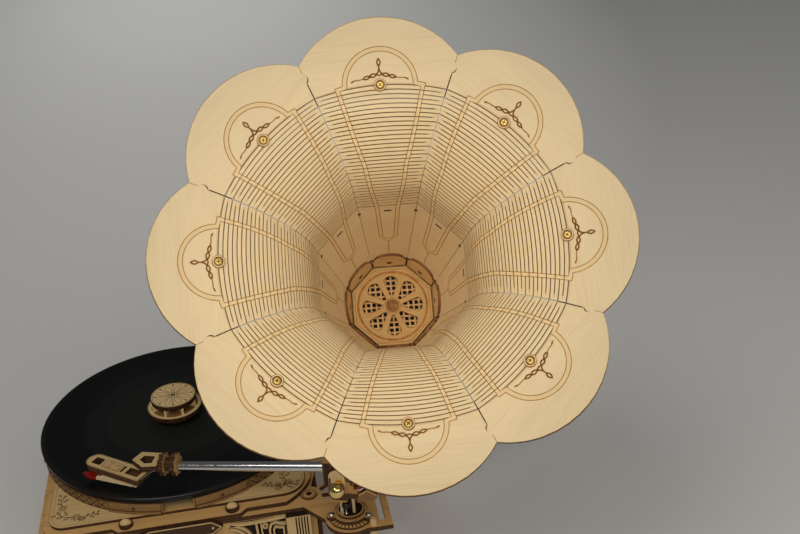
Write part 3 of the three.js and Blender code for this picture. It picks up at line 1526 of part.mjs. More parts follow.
const gramophone = new THREE.Group();
const hornGroup = horn();
gramophone.add(...box());
gramophone.add(spindle(), crownWheel(), platterGear(), ...platterParts(), ...recordClamp(), governorRotor());
gramophone.add(...crankParts());
gramophone.add(dialParts(), tonearm());
gramophone.add(hornGroup, named('horn_neck', neckPipe(neckLine(hornGroup)), tanPly));

export default gramophone;
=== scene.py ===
"""A toy gramophone with a petal horn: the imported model, dressed with finer pieces and finishes."""
import math
import random

import bmesh
import bpy
from mathutils import Matrix, Vector
from mathutils.geometry import tessellate_polygon

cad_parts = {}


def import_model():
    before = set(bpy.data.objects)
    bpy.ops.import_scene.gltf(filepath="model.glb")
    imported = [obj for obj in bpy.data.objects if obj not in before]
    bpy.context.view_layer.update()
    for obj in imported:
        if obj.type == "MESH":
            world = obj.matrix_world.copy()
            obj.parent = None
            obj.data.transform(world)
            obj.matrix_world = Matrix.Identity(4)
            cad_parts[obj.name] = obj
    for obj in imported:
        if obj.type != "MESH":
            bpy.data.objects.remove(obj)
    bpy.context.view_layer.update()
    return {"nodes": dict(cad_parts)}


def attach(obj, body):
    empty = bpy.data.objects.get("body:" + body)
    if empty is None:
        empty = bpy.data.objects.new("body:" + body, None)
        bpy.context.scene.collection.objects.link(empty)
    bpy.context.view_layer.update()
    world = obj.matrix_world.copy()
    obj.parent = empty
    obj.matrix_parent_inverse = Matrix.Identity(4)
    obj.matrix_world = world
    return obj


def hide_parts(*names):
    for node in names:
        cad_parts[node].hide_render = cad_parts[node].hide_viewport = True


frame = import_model()
nodes = frame["nodes"]

# Sizes are in millimetres and angles in degrees, and MM turns them into metres
MM = 0.001
FACE, EDGE, LINE, BAND, RIM = range(5)

# Camera
CAMERA_PLACE = (61.85, -629.56, 505.22)
CAMERA_YAW = 8.5
CAMERA_PITCH = 27.2
CAMERA_ROLL = 3.6
SENSOR_WIDTH = 36
CAMERA_LENS = 49.84

# Floor and light, in metres apart from SPOT_AIM and SPOT_DISTANCE
FLOOR_GREY = (0.74, 0.73, 0.70)
FLOOR_REACH = 8
GLOW_PLACE = (0.0, 1.85)
GLOW_REACH = (0.85, 1.9)
GLOW_TONE = (1.0, 0.99, 0.93)
GLOW_LEVELS = [(0, 0.3), (0.3, 0.24), (0.6, 0.12), (0.95, 0)]
WORLD_LIGHT = 0.14
SPOT_POWER = 50
SPOT_ANGLE = 9
SPOT_AXIS = (-0.1, -0.1, 1)
SPOT_SIZE = 0.09
SPOT_COLOUR = (1.0, 0.9, 0.76)
SPOT_AIM = 55
SPOT_DISTANCE = 1100
LAMPS = [("key", (-0.7, -1.1, 1.9), (0.1, -0.1, 0.2), 0.9, 10, (1.0, 0.98, 0.95)),
         ("fill", (0.75, -1.35, 1.1), (0.1, -0.1, 0.2), 0.8, 4.2, (1.0, 0.97, 0.93)),
         ("front", (0.05, -1.25, 1.15), (0.14, -0.08, 0.2), 0.7, 5.2, (1.0, 0.96, 0.9))]
WORLD_COLOUR = (0.95, 0.97, 1.0, 1)
WORLD_MIRRORED = 0.09

# Box and deck
BOX_HALF_DEPTH = 95
PLY = 3
DECK_TOP = 74
PLATE_TOP = 77
INLAY_TOP = 79
INLAY_HALF_WIDTH = 76.8
INLAY_FRONT = -85.3
RING_TOP = 86
RING_OUTER = 86.5
RING_INNER = 83.5
RING_GAP_ANGLE = 6
RING_PLAIN_ANGLE = 23.8
PEG_PLACE = (31.5, -90)
PEG_BOSS_HEIGHT = 2
HUB_PLACE = (78.2, -84.2)
PLAQUE_MIDDLE = 71.6
PLAQUE_HALF_WIDTH = 25
PLAQUE_HALF_HEIGHT = 4.9
PLAQUE_POINT = 5.5
PILASTER_SPAN = (62.6, 77)
FLUTE_START = 68.3
FLUTE_PITCH = 1.7
SPRAYS = [(-62, -77, 158, 9), (-57, -79, 20, 6.5), (-70, -66, 96, 8), (61, -79, 12, 8), (66, -74, 100, 8.5),
          (60, -76, 165, 6), (-48, 78, 200, 9), (46, 79, -20, 9)]

# Record, clamp and platter
RECORD_RADIUS = 87.5
RECORD_BOTTOM = 88.8
RECORD_TOP = 91
RECORD_EDGE = 0.5
RECORD_SINK = 0.12
LABEL_RADIUS = 45
GROOVE_INNER = 60
GROOVE_OUTER = 84.5
CLAMP_GAP = 0.3
CLAMP_FOOT_RADIUS = 12
CLAMP_FOOT_HEIGHT = 4.6
CLAMP_RADIUS = 17.5
CLAMP_HEIGHT = 3
CLAMP_NECK_RADIUS = 9
CLAMP_NECK_HEIGHT = 4.3
CLAMP_CAP_RADIUS = 14.6
CLAMP_CAP_HEIGHT = 3
SPINDLE_RADIUS = 3
CLAMP_LOW = RECORD_TOP + CLAMP_GAP + CLAMP_FOOT_HEIGHT
CLAMP_TOP = CLAMP_LOW + CLAMP_HEIGHT
CLAMP_NECK_TOP = CLAMP_TOP + CLAMP_NECK_HEIGHT
CLAMP_CAP_TOP = CLAMP_NECK_TOP + CLAMP_CAP_HEIGHT

# Tonearm
DIAL_CENTRE = (100.8, -109.5)
ARM_AZIMUTH = 161
AXLE_AHEAD = 3.8
ARM_ASIDE = 2.4
ARM_LENGTH = 100.8
ARM_DIP = 6
PIVOT_RISE = 17
AXLE_RISE = 11.5
TUBE_RADIUS = 3
COUPLING_RADIUS = 7.2
COUPLING_RISE = 1.6
CHEEK_OUTER = 8.5
BALL_RADIUS = 4.85
AXLE_RADIUS = 1.5
AXLE_NUT = 1.6
YOKE_HALF_LENGTH = 6
YOKE_BRIDGE_TOP = 4.2
LEAD_PATH = [(104.6, -116.4, 98.0), (106.6, -118.2, 98.6), (109.0, -118.8, 100.2), (111.2, -118.4, 100.8),
             (113.3, -118.9, 100.6)]
FINGER_WIRE_PATH = [(-24.6, -79.9, 97), (-21.5, -79.4, 99), (-15, -78.2, 103), (-10.9, -76.8, 104)]
HEADSHELL_START = (7, 10.5, 7.2)
HEADSHELL_TOP = 3.7
HEADSHELL_TURN = -19
CARTRIDGE_START = (4, 2.1)
CARTRIDGE_TURN = 7.8
CARTRIDGE_DROP = 1.7
SCALE_TOP = 75.5
COLLAR_TOP = 78
RIM_TOP = 79.5
SCALE_TURN = -14
POST_PLACE = (112.6, -120.4)
PIN_PLACE = (-2.7, -4.3, 0)
PIVOT_BALL_RADIUS = 2.5
PIVOT_BALL_HEIGHT = 85.5

# Horn
PETALS = 8
HORN_PLACE = (138.9, -76.9, 195.7)
HORN_ELEVATION = 40.4
HORN_AZIMUTH = 6.65
THROAT_RADIUS = 28.2
STRAIGHT_LENGTH = 83.7
BEND_LENGTH = 64.3
START_SLOPE = math.radians(9.6)
END_SLOPE = math.radians(76.1)
NOTCH_LENGTH = 159.8
LOBE_RISE = 21
PETAL_THICKNESS = 2
SEAM_GAPS = [(0, 0.04), (102, 0.04), (110, 0.4), (139, 0.45), (141, 0.6), (151, 0.6), (152, 0.1), (200, 0.1)]
KERFS = 33
KERF_PITCH = 2.22
KERF_HALF_WIDTH = 0.17
KERF_BACK_HALF_WIDTH = 0.05
KERF_MARGIN = 2.9
KERF_SPREAD_FROM = 18
KERF_SPREAD = 0.029
KERF_CURL = 0.0044
KERF_CURL_END = 24
BAND_WIDTH = 2
LINE_WIDTH = 0.42
BAND_PLACES = [(0, 4.6), (31.8, 5), (69.5, 6.5), (107.3, 11.35), (126.8, 16.4), (147.4, 21.8)]
KNOB_LENGTH = 153.9
KNOB_RADIUS = 2.3
KNOB_REACH = 1.7
LIFT = 0.05
CURVE_STEPS = 5
CORNER_STEPS = 2
ROD_SIDES = 8

# Finishes
PLY_LAYER = 1.0
SCRATCHES = 0.04


STAND = Matrix.Rotation(math.pi / 2, 4, "X")


class Shape:
    """Points in millimetres, and faces with a finish number each."""

    def __init__(self):
        self.points = []
        self.faces = []
        self.kinds = []

    def add(self, solid, place=None, kind=None):
        points, faces, kinds = solid
        start = len(self.points)
        for point in points:
            self.points.append(place @ Vector(point) if place else Vector(point))
        for number, face in enumerate(faces):
            self.faces.append([start + corner for corner in face])
            self.kinds.append(kinds[number] if kind is None else kind)
        return self

    def ring(self, height, radius, width, kind=LINE, count=72, centre=(0, 0), step=2):
        """A circle on a level surface: a burnt line, or on the clamp's foot a broad band of painted shade."""
        self.add(ribbon(plane(height), circle(*centre, radius, count), width, True, step), kind=kind)


def linked(name, data):
    """A new object of the scene with this data."""
    thing = bpy.data.objects.new(name, data)
    bpy.context.scene.collection.objects.link(thing)
    return thing


def piece(name, shape, materials, body, place=None, replaces=(), smooth=35, values=None):
    """Makes the shape an object of the scene that rides on a body."""
    mesh = bpy.data.meshes.new(name)
    points = [(place @ point if place else point) * MM for point in shape.points]
    mesh.from_pydata(points, [], shape.faces)
    mesh.polygons.foreach_set("material_index", shape.kinds)
    for key, numbers in (values or {}).items():
        attribute = mesh.attributes.new(key, "FLOAT", "POINT")
        attribute.data.foreach_set("value", numbers)
    edit = bmesh.new()
    edit.from_mesh(mesh)
    bmesh.ops.recalc_face_normals(edit, faces=edit.faces)
    edit.to_mesh(mesh)
    edit.free()
    mesh.shade_smooth()
    mesh.set_sharp_from_angle(angle=math.radians(smooth))
    for material in materials:
        mesh.materials.append(material)
    thing = linked(name, mesh)
    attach(thing, body)
    for node in replaces:
        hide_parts(node)
    return thing


def circle(x, y, radius, count=32, start=0):
    angles = [start + i * (math.tau / count) for i in range(count)]
    return [(x + radius * math.cos(angle), y + radius * math.sin(angle)) for angle in angles]


def spun(points, angle):
    """The points turned round the origin by an angle in radians."""
    turn = Matrix.Rotation(angle, 2)
    return [tuple(turn @ Vector(point)) for point in points]


def arc(x, y, radius, start, end, count=12):
    """Points of an arc between two angles in degrees, both ends included."""
    angles = [math.radians(start + (end - start) * i / count) for i in range(count + 1)]
    return [(x + radius * math.cos(angle), y + radius * math.sin(angle)) for angle in angles]


def rounded(left, front, right, back, radius):
    """A rectangle with round corners."""
    west, east, south, north = left + radius, right - radius, front + radius, back - radius
    corners = []
    for x, y, start in ((east, south, -90), (east, north, 0), (west, north, 90), (west, south, 180)):
        corners += arc(x, y, radius, start, start + 90, CORNER_STEPS)
    return corners


def rectangle(left, front, right, back):
    return [(left, front), (right, front), (right, back), (left, back)]


def slab(outline, holes=(), bottom=0, top=1):
    """A flat plate with holes: its faces are FACE and its cut sides EDGE."""
    loops = [outline, *holes]
    flat = [point for loop in loops for point in loop]
    count = len(flat)
    points = [(x, y, bottom) for x, y in flat] + [(x, y, top) for x, y in flat]
    faces = []
    kinds = []
    for a, b, c in tessellate_polygon([[Vector((x, y, 0)) for x, y in loop] for loop in loops]):
        faces += [(a + count, b + count, c + count), (c, b, a)]
        kinds += [FACE, FACE]
    start = 0
    for loop in loops:
        for i in range(len(loop)):
            a = start + i
            b = start + (i + 1) % len(loop)
            faces.append((a, b, b + count, a + count))
            kinds.append(EDGE)
        start += len(loop)
    return points, faces, kinds


def turned(profile, segments=64, kinds=None):
    """A lathe body round Z. A profile that isn't on the axis at both ends closes on itself."""
    points = []
    rings = []
    for radius, height in profile:
        if radius < LIFT / 1000:
            rings.append([len(points)] * segments)
            points.append((0, 0, height))
        else:
            rings.append(list(range(len(points), len(points) + segments)))
            points += [(x, y, height) for x, y in circle(0, 0, radius, segments)]
    closed = profile[0][0] > 0 or profile[-1][0] > 0
    faces = []
    marks = []
    count = len(profile)
    for i in range(count if closed else count - 1):
        low, high = rings[i], rings[(i + 1) % count]
        for j in range(segments):
            k = (j + 1) % segments
            corners = [low[j], low[k], high[k], high[j]]
            kept = [corner for n, corner in enumerate(corners) if corner not in corners[:n]]
            if len(kept) > 2:
                faces.append(kept)
                marks.append(kinds[i] if kinds else FACE)
    return points, faces, marks


def rod(radius, low, high, segments=24):
    """A closed cylinder round Z."""
    return turned([(0, low), (radius, low), (radius, high), (0, high)], segments)


def ball(radius, centre, step, segments):
    """A ball on Z, of rings that lie a step of whole degrees apart."""
    angles = [math.radians(angle) for angle in range(-80, 81, step)]
    profile = [(radius * math.cos(angle), centre + radius * math.sin(angle)) for angle in angles]
    return turned([(0, centre - radius), *profile, (0, centre + radius)], segments)


def tube_along(path, radius):
    """A round rod along a path of points, with closed ends."""
    sides = ROD_SIDES
    path = [Vector(point) for point in path]
    points = []
    faces = []
    across = None
    for i, point in enumerate(path):
        along = (path[min(i + 1, len(path) - 1)] - path[max(i - 1, 0)]).normalized()
        if across is None:
            across = along.orthogonal().normalized()
        across = (across - along * across.dot(along)).normalized()
        over = along.cross(across)
        for x, y in circle(0, 0, radius, sides):
            points.append(point + across * x + over * y)
    for i in range(len(path) - 1):
        for j in range(sides):
            k = (j + 1) % sides
            faces.append((i * sides + j, i * sides + k, (i + 1) * sides + k, (i + 1) * sides + j))
    faces.append(tuple(range(sides)))
    faces.append(tuple(range((len(path) - 1) * sides, len(path) * sides)))
    return points, faces, [FACE] * len(faces)


def smooth_path(points):
    """A Catmull-Rom curve through the points."""
    last = len(points) - 1
    path = []
    for i in range(last):
        a, b, c, d = [Vector(points[min(max(n, 0), last)]) for n in (i - 1, i, i + 1, i + 2)]
        for step in range(CURVE_STEPS):
            t = step / CURVE_STEPS
            path.append(tuple((b * 2 + (c - a) * t + (a * 2 - b * 5 + c * 4 - d) * t ** 2
                               + (b * 3 - a - c * 3 + d) * t ** 3) / 2))
    path.append(tuple(points[-1]))
    return path


def divided(path, step, closed=False):
    """The same path with no stretch longer than the step."""
    ends = path[1:] + path[:1] if closed else path[1:]
    result = []
    for start, end in zip(path, ends):
        start = Vector(start)
        end = Vector(end)
        parts = max(1, math.ceil((end - start).length / step))
        result += [tuple(start.lerp(end, i / parts)) for i in range(parts)]
    if not closed:
        result.append(tuple(path[-1]))
    return result


def plane(height):
    """The level surface at a height, as ribbons use it."""
    return lambda x, y: (Vector((x, y, height)), Vector((0, 0, 1)))


def upright(depth):
    """The upright surface that faces the front at a depth, as ribbons use it."""
    return lambda x, z: (Vector((x, depth, z)), Vector((0, -1, 0)))


def far_upright(depth):
    """The upright surface that faces away from the front at a depth, as ribbons use it."""
    return lambda x, z: (Vector((x, depth, z)), Vector((0, 1, 0)))


def ribbon(surface, path, width, closed=False, step=2, lift=LIFT):
    """A burnt line on a surface: a thin closed strip along a path."""
    path = divided(path, step, closed)
    count = len(path)
    points = []
    for i, spot in enumerate(path):
        before = path[(i - 1) % count] if closed else path[max(i - 1, 0)]
        after = path[(i + 1) % count] if closed else path[min(i + 1, count - 1)]
        here = Vector(spot)
        along = (Vector(after) - Vector(before)).normalized()
        aside = Vector((-along.y, along.x))
        first = (here - Vector(before)).normalized() if here != Vector(before) else along
        miter = 1 / max(abs(aside.dot(Vector((-first.y, first.x)))), 0.5)
        for side in (-1, 1):
            x, y = here + aside * side * width * miter / 2
            place, normal = surface(x, y)
            points += [place - normal * lift, place + normal * lift]
    faces = []
    spans = count if closed else count - 1
    for i in range(spans):
        a = i * 4
        b = (i + 1) % count * 4
        for first, second in ((1, 3), (3, 2), (2, 0), (0, 1)):
            faces.append((a + first, a + second, b + second, b + first))
    if not closed:
        last = (count - 1) * 4
        faces += [(0, 1, 3, 2), (last, last + 1, last + 3, last + 2)]
    return points, faces, [FACE] * len(faces)


def patch(surface, outline, lift=LIFT, kind=FACE):
    """A thin filled shape on a surface."""
    points, faces, _ = slab(outline, (), -lift, lift)
    placed = []
    for x, y, rise in points:
        place, normal = surface(x, y)
        placed.append(place + normal * rise)
    return placed, faces, [kind] * len(faces)


def between(places, length):
    """The value at a length, from a list of (length, value) pairs."""
    for (start, first), (end, second) in zip(places, places[1:]):
        if length <= end:
            return first + (second - first) * (length - start) / (end - start)
    return places[-1][1]


# Finishes

def material(name, colour, roughness=0.5, metallic=0.0, **others):
    made = bpy.data.materials.new(name)
    made.use_nodes = True
    shader = made.node_tree.nodes["Principled BSDF"]
    shader.inputs["Base Color"].default_value = (*colour, 1)
    shader.inputs["Roughness"].default_value = roughness
    shader.inputs["Metallic"].default_value = metallic
    for key, value in others.items():
        shader.inputs[key.replace("_", " ")].default_value = value
    return made


class Nodes:
    """Short ways to add and join a material's nodes."""

    def __init__(self, made):
        self.tree = made.node_tree
        self.shader = self.tree.nodes["Principled BSDF"]

    def add(self, kind, **settings):
        node = self.tree.nodes.new(kind)
        for key, value in settings.items():
            setattr(node, key, value)
        return node

    def join(self, output, target):
        self.tree.links.new(output, target)

    def coordinates(self, kind="Object", scale=(1, 1, 1)):
        source = self.add("ShaderNodeTexCoord")
        mapping = self.add("ShaderNodeMapping")
        mapping.inputs["Scale"].default_value = scale
        self.join(source.outputs[kind], mapping.inputs["Vector"])
        return mapping.outputs["Vector"]

    def noise(self, vector, scale, detail=3, roughness=0.6, distortion=0.0):
        node = self.add("ShaderNodeTexNoise")
        node.inputs["Scale"].default_value = scale
        node.inputs["Detail"].default_value = detail
        node.inputs["Roughness"].default_value = roughness
        node.inputs["Distortion"].default_value = distortion
        self.join(vector, node.inputs["Vector"])
        return node.outputs["Fac"]

    def ramp(self, value, stops):
        node = self.add("ShaderNodeValToRGB")
        elements = node.color_ramp.elements
        while len(elements) < len(stops):
            elements.new(0.5)
        for element, (place, colour) in zip(elements, stops):
            element.position = place
            element.color = (*colour, 1)
        self.join(value, node.inputs["Fac"])
        return node.outputs["Color"]

    def span(self, value, low, high, new_low=0.0, new_high=1.0):
        node = self.add("ShaderNodeMapRange", clamp=True)
        for key, number in (("From Min", low), ("From Max", high), ("To Min", new_low), ("To Max", new_high)):
            node.inputs[key].default_value = number
        self.join(value, node.inputs["Value"])
        return node.outputs["Result"]

    def maths(self, operation, first, second=None):
        node = self.add("ShaderNodeMath", operation=operation)
        for number, value in enumerate((first, second)):
            if isinstance(value, (int, float)):
                node.inputs[number].default_value = value
            elif value is not None:
                self.join(value, node.inputs[number])
        return node.outputs["Value"]

    def mix(self, share, first, second):
        node = self.add("ShaderNodeMix", data_type="RGBA")
        for name, value in (("Factor", share), ("A", first), ("B", second)):
            target = next(s for s in node.inputs if s.name == name and (s.type == "RGBA" or name == "Factor"))
            if isinstance(value, (int, float)):
                target.default_value = value
            elif isinstance(value, tuple):
                target.default_value = (*value, 1)
            else:
                self.join(value, target)
        return next(s for s in node.outputs if s.type == "RGBA")

    def bump(self, height, strength, distance):
        node = self.add("ShaderNodeBump")
        node.inputs["Strength"].default_value = strength
        node.inputs["Distance"].default_value = distance
        self.join(height, node.inputs["Height"])
        self.join(node.outputs["Normal"], self.shader.inputs["Normal"])


def shaded(colour, factor):
    return tuple(channel * factor for channel in colour)


def wood(name, colour, coordinates="Object", stretch=(1, 14, 14), contrast=0.1, kerfs=False):
    """Bare plywood face: long faint grain, broad patches of tone and a dull finish."""
    made = material(name, colour, roughness=0.62, Specular_IOR_Level=0.3)
    tools = Nodes(made)
    long_grain = tools.coordinates(coordinates, stretch)
    fine = tools.noise(long_grain, 55, detail=5, roughness=0.65, distortion=0.3)
    broad = tools.noise(long_grain, 7, detail=2, distortion=1.2)
    patches = tools.noise(tools.coordinates(coordinates), 14, detail=2)
    grain = tools.maths("ADD", tools.maths("MULTIPLY", fine, 0.45), tools.maths("MULTIPLY", broad, 0.35))
    grain = tools.maths("ADD", grain, tools.maths("MULTIPLY", patches, 0.2))
    red, green, blue = colour
    dark = (red * (1 - contrast), green * (1 - contrast * 1.25), blue * (1 - contrast * 1.7))
    pale = (red * (1 + contrast * 0.5), green * (1 + contrast * 0.55), blue * (1 + contrast * 0.6))
    tone = tools.ramp(grain, [(0.36, dark), (0.5, colour), (0.64, pale)])
    if kerfs:
        attribute = tools.add("ShaderNodeAttribute", attribute_name="kerf")
        part = tools.maths("FRACT", attribute.outputs["Fac"])
        away = tools.maths("MINIMUM", part, tools.maths("SUBTRACT", 1.0, part))
        cut = tools.add("ShaderNodeAttribute", attribute_name="cut")
        halo = tools.maths("MULTIPLY", tools.span(away, 0.06, 0.2, 0.7, 0.0), cut.outputs["Fac"])
        tone = tools.mix(halo, tone, (red * 0.5, green * 0.34, blue * 0.12))
    tools.join(tone, tools.shader.inputs["Base Color"])
    tools.bump(fine, 0.12, 0.0002)
    return made


def ply_edge(name, colour, axis=None):
    """The scorched cut side of plywood: dark, with its layers where an axis across them is given."""
    made = material(name, colour, roughness=0.7, Specular_IOR_Level=0.2)
    tools = Nodes(made)
    spots = tools.noise(tools.coordinates(), 260, detail=3)
    value = tools.span(spots, 0.3, 0.7)
    if axis is not None:
        split = tools.add("ShaderNodeSeparateXYZ")
        tools.join(tools.coordinates(), split.inputs["Vector"])
        height = tools.maths("MULTIPLY", split.outputs[axis], 1 / (PLY_LAYER * MM))
        wave = tools.maths("SINE", tools.maths("MULTIPLY", height, math.pi))
        layers = tools.span(wave, -0.4, 0.4)
        value = tools.maths("ADD", tools.maths("MULTIPLY", value, 0.4), tools.maths("MULTIPLY", layers, 0.6))
    tone = tools.ramp(value, [(0.1, shaded(colour, 0.55)), (0.9, shaded(colour, 1.35))])
    tools.join(tone, tools.shader.inputs["Base Color"])
    return made


def burnt(name, colour):
    """A line that a laser has engraved."""
    made = material(name, colour, roughness=0.75, Specular_IOR_Level=0.15)
    tools = Nodes(made)
    spots = tools.noise(tools.coordinates(), 420, detail=2)
    tone = tools.ramp(spots, [(0.3, shaded(colour, 0.7)), (0.7, shaded(colour, 1.3))])
    tools.join(tone, tools.shader.inputs["Base Color"])
    return made


def metal(name, colour, roughness):
    """Bare metal with a slightly uneven polish."""
    made = material(name, colour, roughness=roughness, metallic=1.0)
    tools = Nodes(made)
    marks = tools.noise(tools.coordinates(), 340, detail=4)
    tools.join(tools.span(marks, 0.3, 0.7, roughness - SCRATCHES, roughness + SCRATCHES),
               tools.shader.inputs["Roughness"])
    return made


def vinyl_finish(name, colour, roughness, grooves):
    """Pressed vinyl: fine rings round the spindle and a soft gloss."""
    made = material(name, colour, roughness=roughness, Specular_IOR_Level=0.22)
    tools = Nodes(made)
    split = tools.add("ShaderNodeSeparateXYZ")
    tools.join(tools.coordinates(), split.inputs["Vector"])
    square = tools.maths("ADD", tools.maths("MULTIPLY", split.outputs[0], split.outputs[0]),
                         tools.maths("MULTIPLY", split.outputs[1], split.outputs[1]))
    radius = tools.maths("SQRT", square)
    tracks = tools.add("ShaderNodeTexNoise", noise_dimensions="1D")
    tracks.inputs["Scale"].default_value = 420
    tracks.inputs["Detail"].default_value = 4
    tools.join(radius, tracks.inputs["W"])
    tools.join(tools.span(tracks.outputs["Fac"], 0.3, 0.7, roughness * 0.8, roughness * 1.3),
               tools.shader.inputs["Roughness"])
    if grooves:
        wave = tools.maths("SINE", tools.maths("MULTIPLY", radius, math.tau / (0.7 * MM)))
        tools.bump(wave, 0.25, 0.00006)
    return made


BIRCH = (0.60, 0.415, 0.185)
TAN = (0.58, 0.335, 0.12)
birch = wood("birch_face", BIRCH)
birch_up = wood("birch_upright", BIRCH, stretch=(14, 14, 1))
petal_wood = wood("petal_face", (0.74, 0.575, 0.335), "UV", (1, 16, 1), contrast=0.07, kerfs=True)
petal_band = wood("petal_band", (0.74, 0.55, 0.29), "UV", (1, 16, 1), contrast=0.08)
grille_wood = wood("grille_face", (0.37, 0.225, 0.07), contrast=0.12)
tan = wood("tan_face", TAN, contrast=0.22)
# Painted light: paler than tan, for the crown's upright faces that get little light
crown_wood_painted_light = wood("crown_face_painted_light", (0.70, 0.47, 0.22), contrast=0.12)
cheek_wood = wood("cheek_face", (0.80, 0.56, 0.29), stretch=(14, 14, 1), contrast=0.12)
step_wood = wood("step_face", (0.46, 0.25, 0.08), contrast=0.2)
# A darker tan for the counterweight and the yoke's side plate, and painted shade under the clamp's cap
dark_tan_and_painted_shade = wood("tan_dark_and_painted_shade", (0.24, 0.125, 0.045), contrast=0.2)
tan_up = wood("tan_upright", TAN, stretch=(14, 14, 1), contrast=0.22)
walnut = wood("walnut_face", (0.085, 0.038, 0.014), contrast=0.3)
clamp_wood = wood("clamp_face", (0.82, 0.6, 0.29))
plaque_wood = wood("plaque_face", (0.05, 0.022, 0.008), contrast=0.3)
ring_up = wood("ring_face", (0.27, 0.15, 0.055), contrast=0.2)
kerf_edge = ply_edge("burnt_kerf", (0.11, 0.05, 0.018))
burnt_edge = ply_edge("burnt_edge", (0.05, 0.02, 0.007))
crown_edge = ply_edge("burnt_crown", (0.14, 0.06, 0.018))
level_edge = ply_edge("burnt_edge_level", (0.075, 0.034, 0.012), axis=2)
side_edge = ply_edge("burnt_edge_side", (0.075, 0.034, 0.012), axis=1)
dark_line = burnt("burnt_line", (0.1, 0.045, 0.014))
amber_line = burnt("burnt_line_amber", (0.38, 0.185, 0.045))
pale_line = burnt("burnt_line_pale", (0.36, 0.21, 0.075))
brown_line = burnt("burnt_line_brown", (0.27, 0.115, 0.03))
# Near black: burnt lines and marks, and painted shade on the horn's hoop and across the seams' gaps
char_and_painted_shade = burnt("charred_and_painted_shade", (0.022, 0.012, 0.008))
scorch = burnt("scorched_birch", (0.50, 0.33, 0.145))
rim = burnt("scorched_rim", (0.36, 0.22, 0.09))
steel = metal("polished_steel", (0.66, 0.65, 0.63), 0.14)
brass = metal("polished_brass", (0.9, 0.66, 0.26), 0.14)
screw_brass = metal("screw_brass", (0.80, 0.58, 0.19), 0.55)
# Painted shade: dark brass for the floor of the screws' cross recess
brass_painted_shade = metal("brass_recess_painted_shade", (0.16, 0.09, 0.02), 0.5)
grooved_vinyl = vinyl_finish("vinyl_grooves", (0.003, 0.0033, 0.0036), 0.3, True)
plain_vinyl = vinyl_finish("vinyl_plain", (0.009, 0.008, 0.007), 0.34, False)
label_paper = vinyl_finish("record_label", (0.0125, 0.0138, 0.0105), 0.5, False)
black = material("black_plastic", (0.012, 0.012, 0.013), 0.4)
gloss_black = material("gloss_black", (0.006, 0.006, 0.007), 0.06)
red = material("red_plastic", (0.22, 0.006, 0.005), 0.3)
cream = wood("cream_strip", (0.66, 0.5, 0.28))
board_green = material("board_green", (0.02, 0.12, 0.05), 0.4)
cable_red = material("cable_red", (0.45, 0.02, 0.015), 0.4)
cable_white = material("cable_white", (0.62, 0.6, 0.55), 0.4)
gauze = burnt("gauze", (0.42, 0.25, 0.1))
SHEET = [birch, burnt_edge, dark_line, scorch]
TAN_SHEET = [tan, level_edge, dark_line, scorch]


def dress_by(node, finishes, choose):
    """Finishes a CAD node: the choice gets each face's normal and centre in millimetres."""
    thing = nodes[node]
    thing.data.materials.clear()
    for finish in finishes:
        thing.data.materials.append(finish)
    turn = thing.matrix_world.to_3x3()
    for polygon in thing.data.polygons:
        centre = thing.matrix_world @ polygon.center / MM
        polygon.material_index = choose(turn @ polygon.normal, centre)


def dress(node, face, edge=None, axis=2):
    """Finishes a CAD node: faces square to the axis get the face's finish, the rest the edge's."""
    mesh = nodes[node].data
    mesh.materials.clear()
    mesh.materials.append(face)
    if edge:
        mesh.materials.append(edge)
    for polygon in mesh.polygons:
        polygon.material_index = int(bool(edge) and abs(polygon.normal[axis]) < 0.7)


# Camera, stage and lights

def camera():
    """The photo's camera."""
    yaw = math.radians(CAMERA_YAW)
    pitch = math.radians(CAMERA_PITCH)
    roll = math.radians(CAMERA_ROLL)
    ahead = Vector((math.sin(yaw) * math.cos(pitch), math.cos(yaw) * math.cos(pitch), -math.sin(pitch)))
    right = Vector((math.cos(yaw), -math.sin(yaw), 0))
    down = ahead.cross(right)
    across = right * math.cos(roll) + down * math.sin(roll)
    up = right * math.sin(roll) - down * math.cos(roll)
    data = bpy.data.cameras.new("camera")
    data.lens = CAMERA_LENS
    data.sensor_width = SENSOR_WIDTH
    data.clip_start = 0.01
    eye = linked("camera", data)
    turn = Matrix((across, up, -ahead)).transposed().to_4x4()
    eye.matrix_world = Matrix.Translation(Vector(CAMERA_PLACE) * MM) @ turn
    bpy.context.scene.camera = eye


def lamp(name, place, target, size, power, colour):
    """A round soft light in metres, aimed at a target."""
    data = bpy.data.lights.new(name, "AREA")
    data.shape = "DISK"
    data.size = size
    data.energy = power
    data.color = colour
    thing = linked(name, data)
    thing.location = place
    thing.rotation_euler = (Vector(target) - Vector(place)).to_track_quat("-Z", "Y").to_euler()


def throat_spot():
    """A soft light down the horn, narrow enough to reach only its throat."""
    place = horn_matrix()
    data = bpy.data.lights.new("throat_spot", "SPOT")
    data.energy = SPOT_POWER
    data.spot_size = math.radians(SPOT_ANGLE)
    data.spot_blend = 1
    data.shadow_soft_size = SPOT_SIZE
    data.color = SPOT_COLOUR
    thing = linked("throat_spot", data)
    aim = place @ Vector((0, 0, SPOT_AIM))
    axis = place.to_3x3() @ Vector(SPOT_AXIS).normalized()
    thing.location = (aim + axis * SPOT_DISTANCE) * MM
    thing.rotation_euler = (-axis).to_track_quat("-Z", "Y").to_euler()


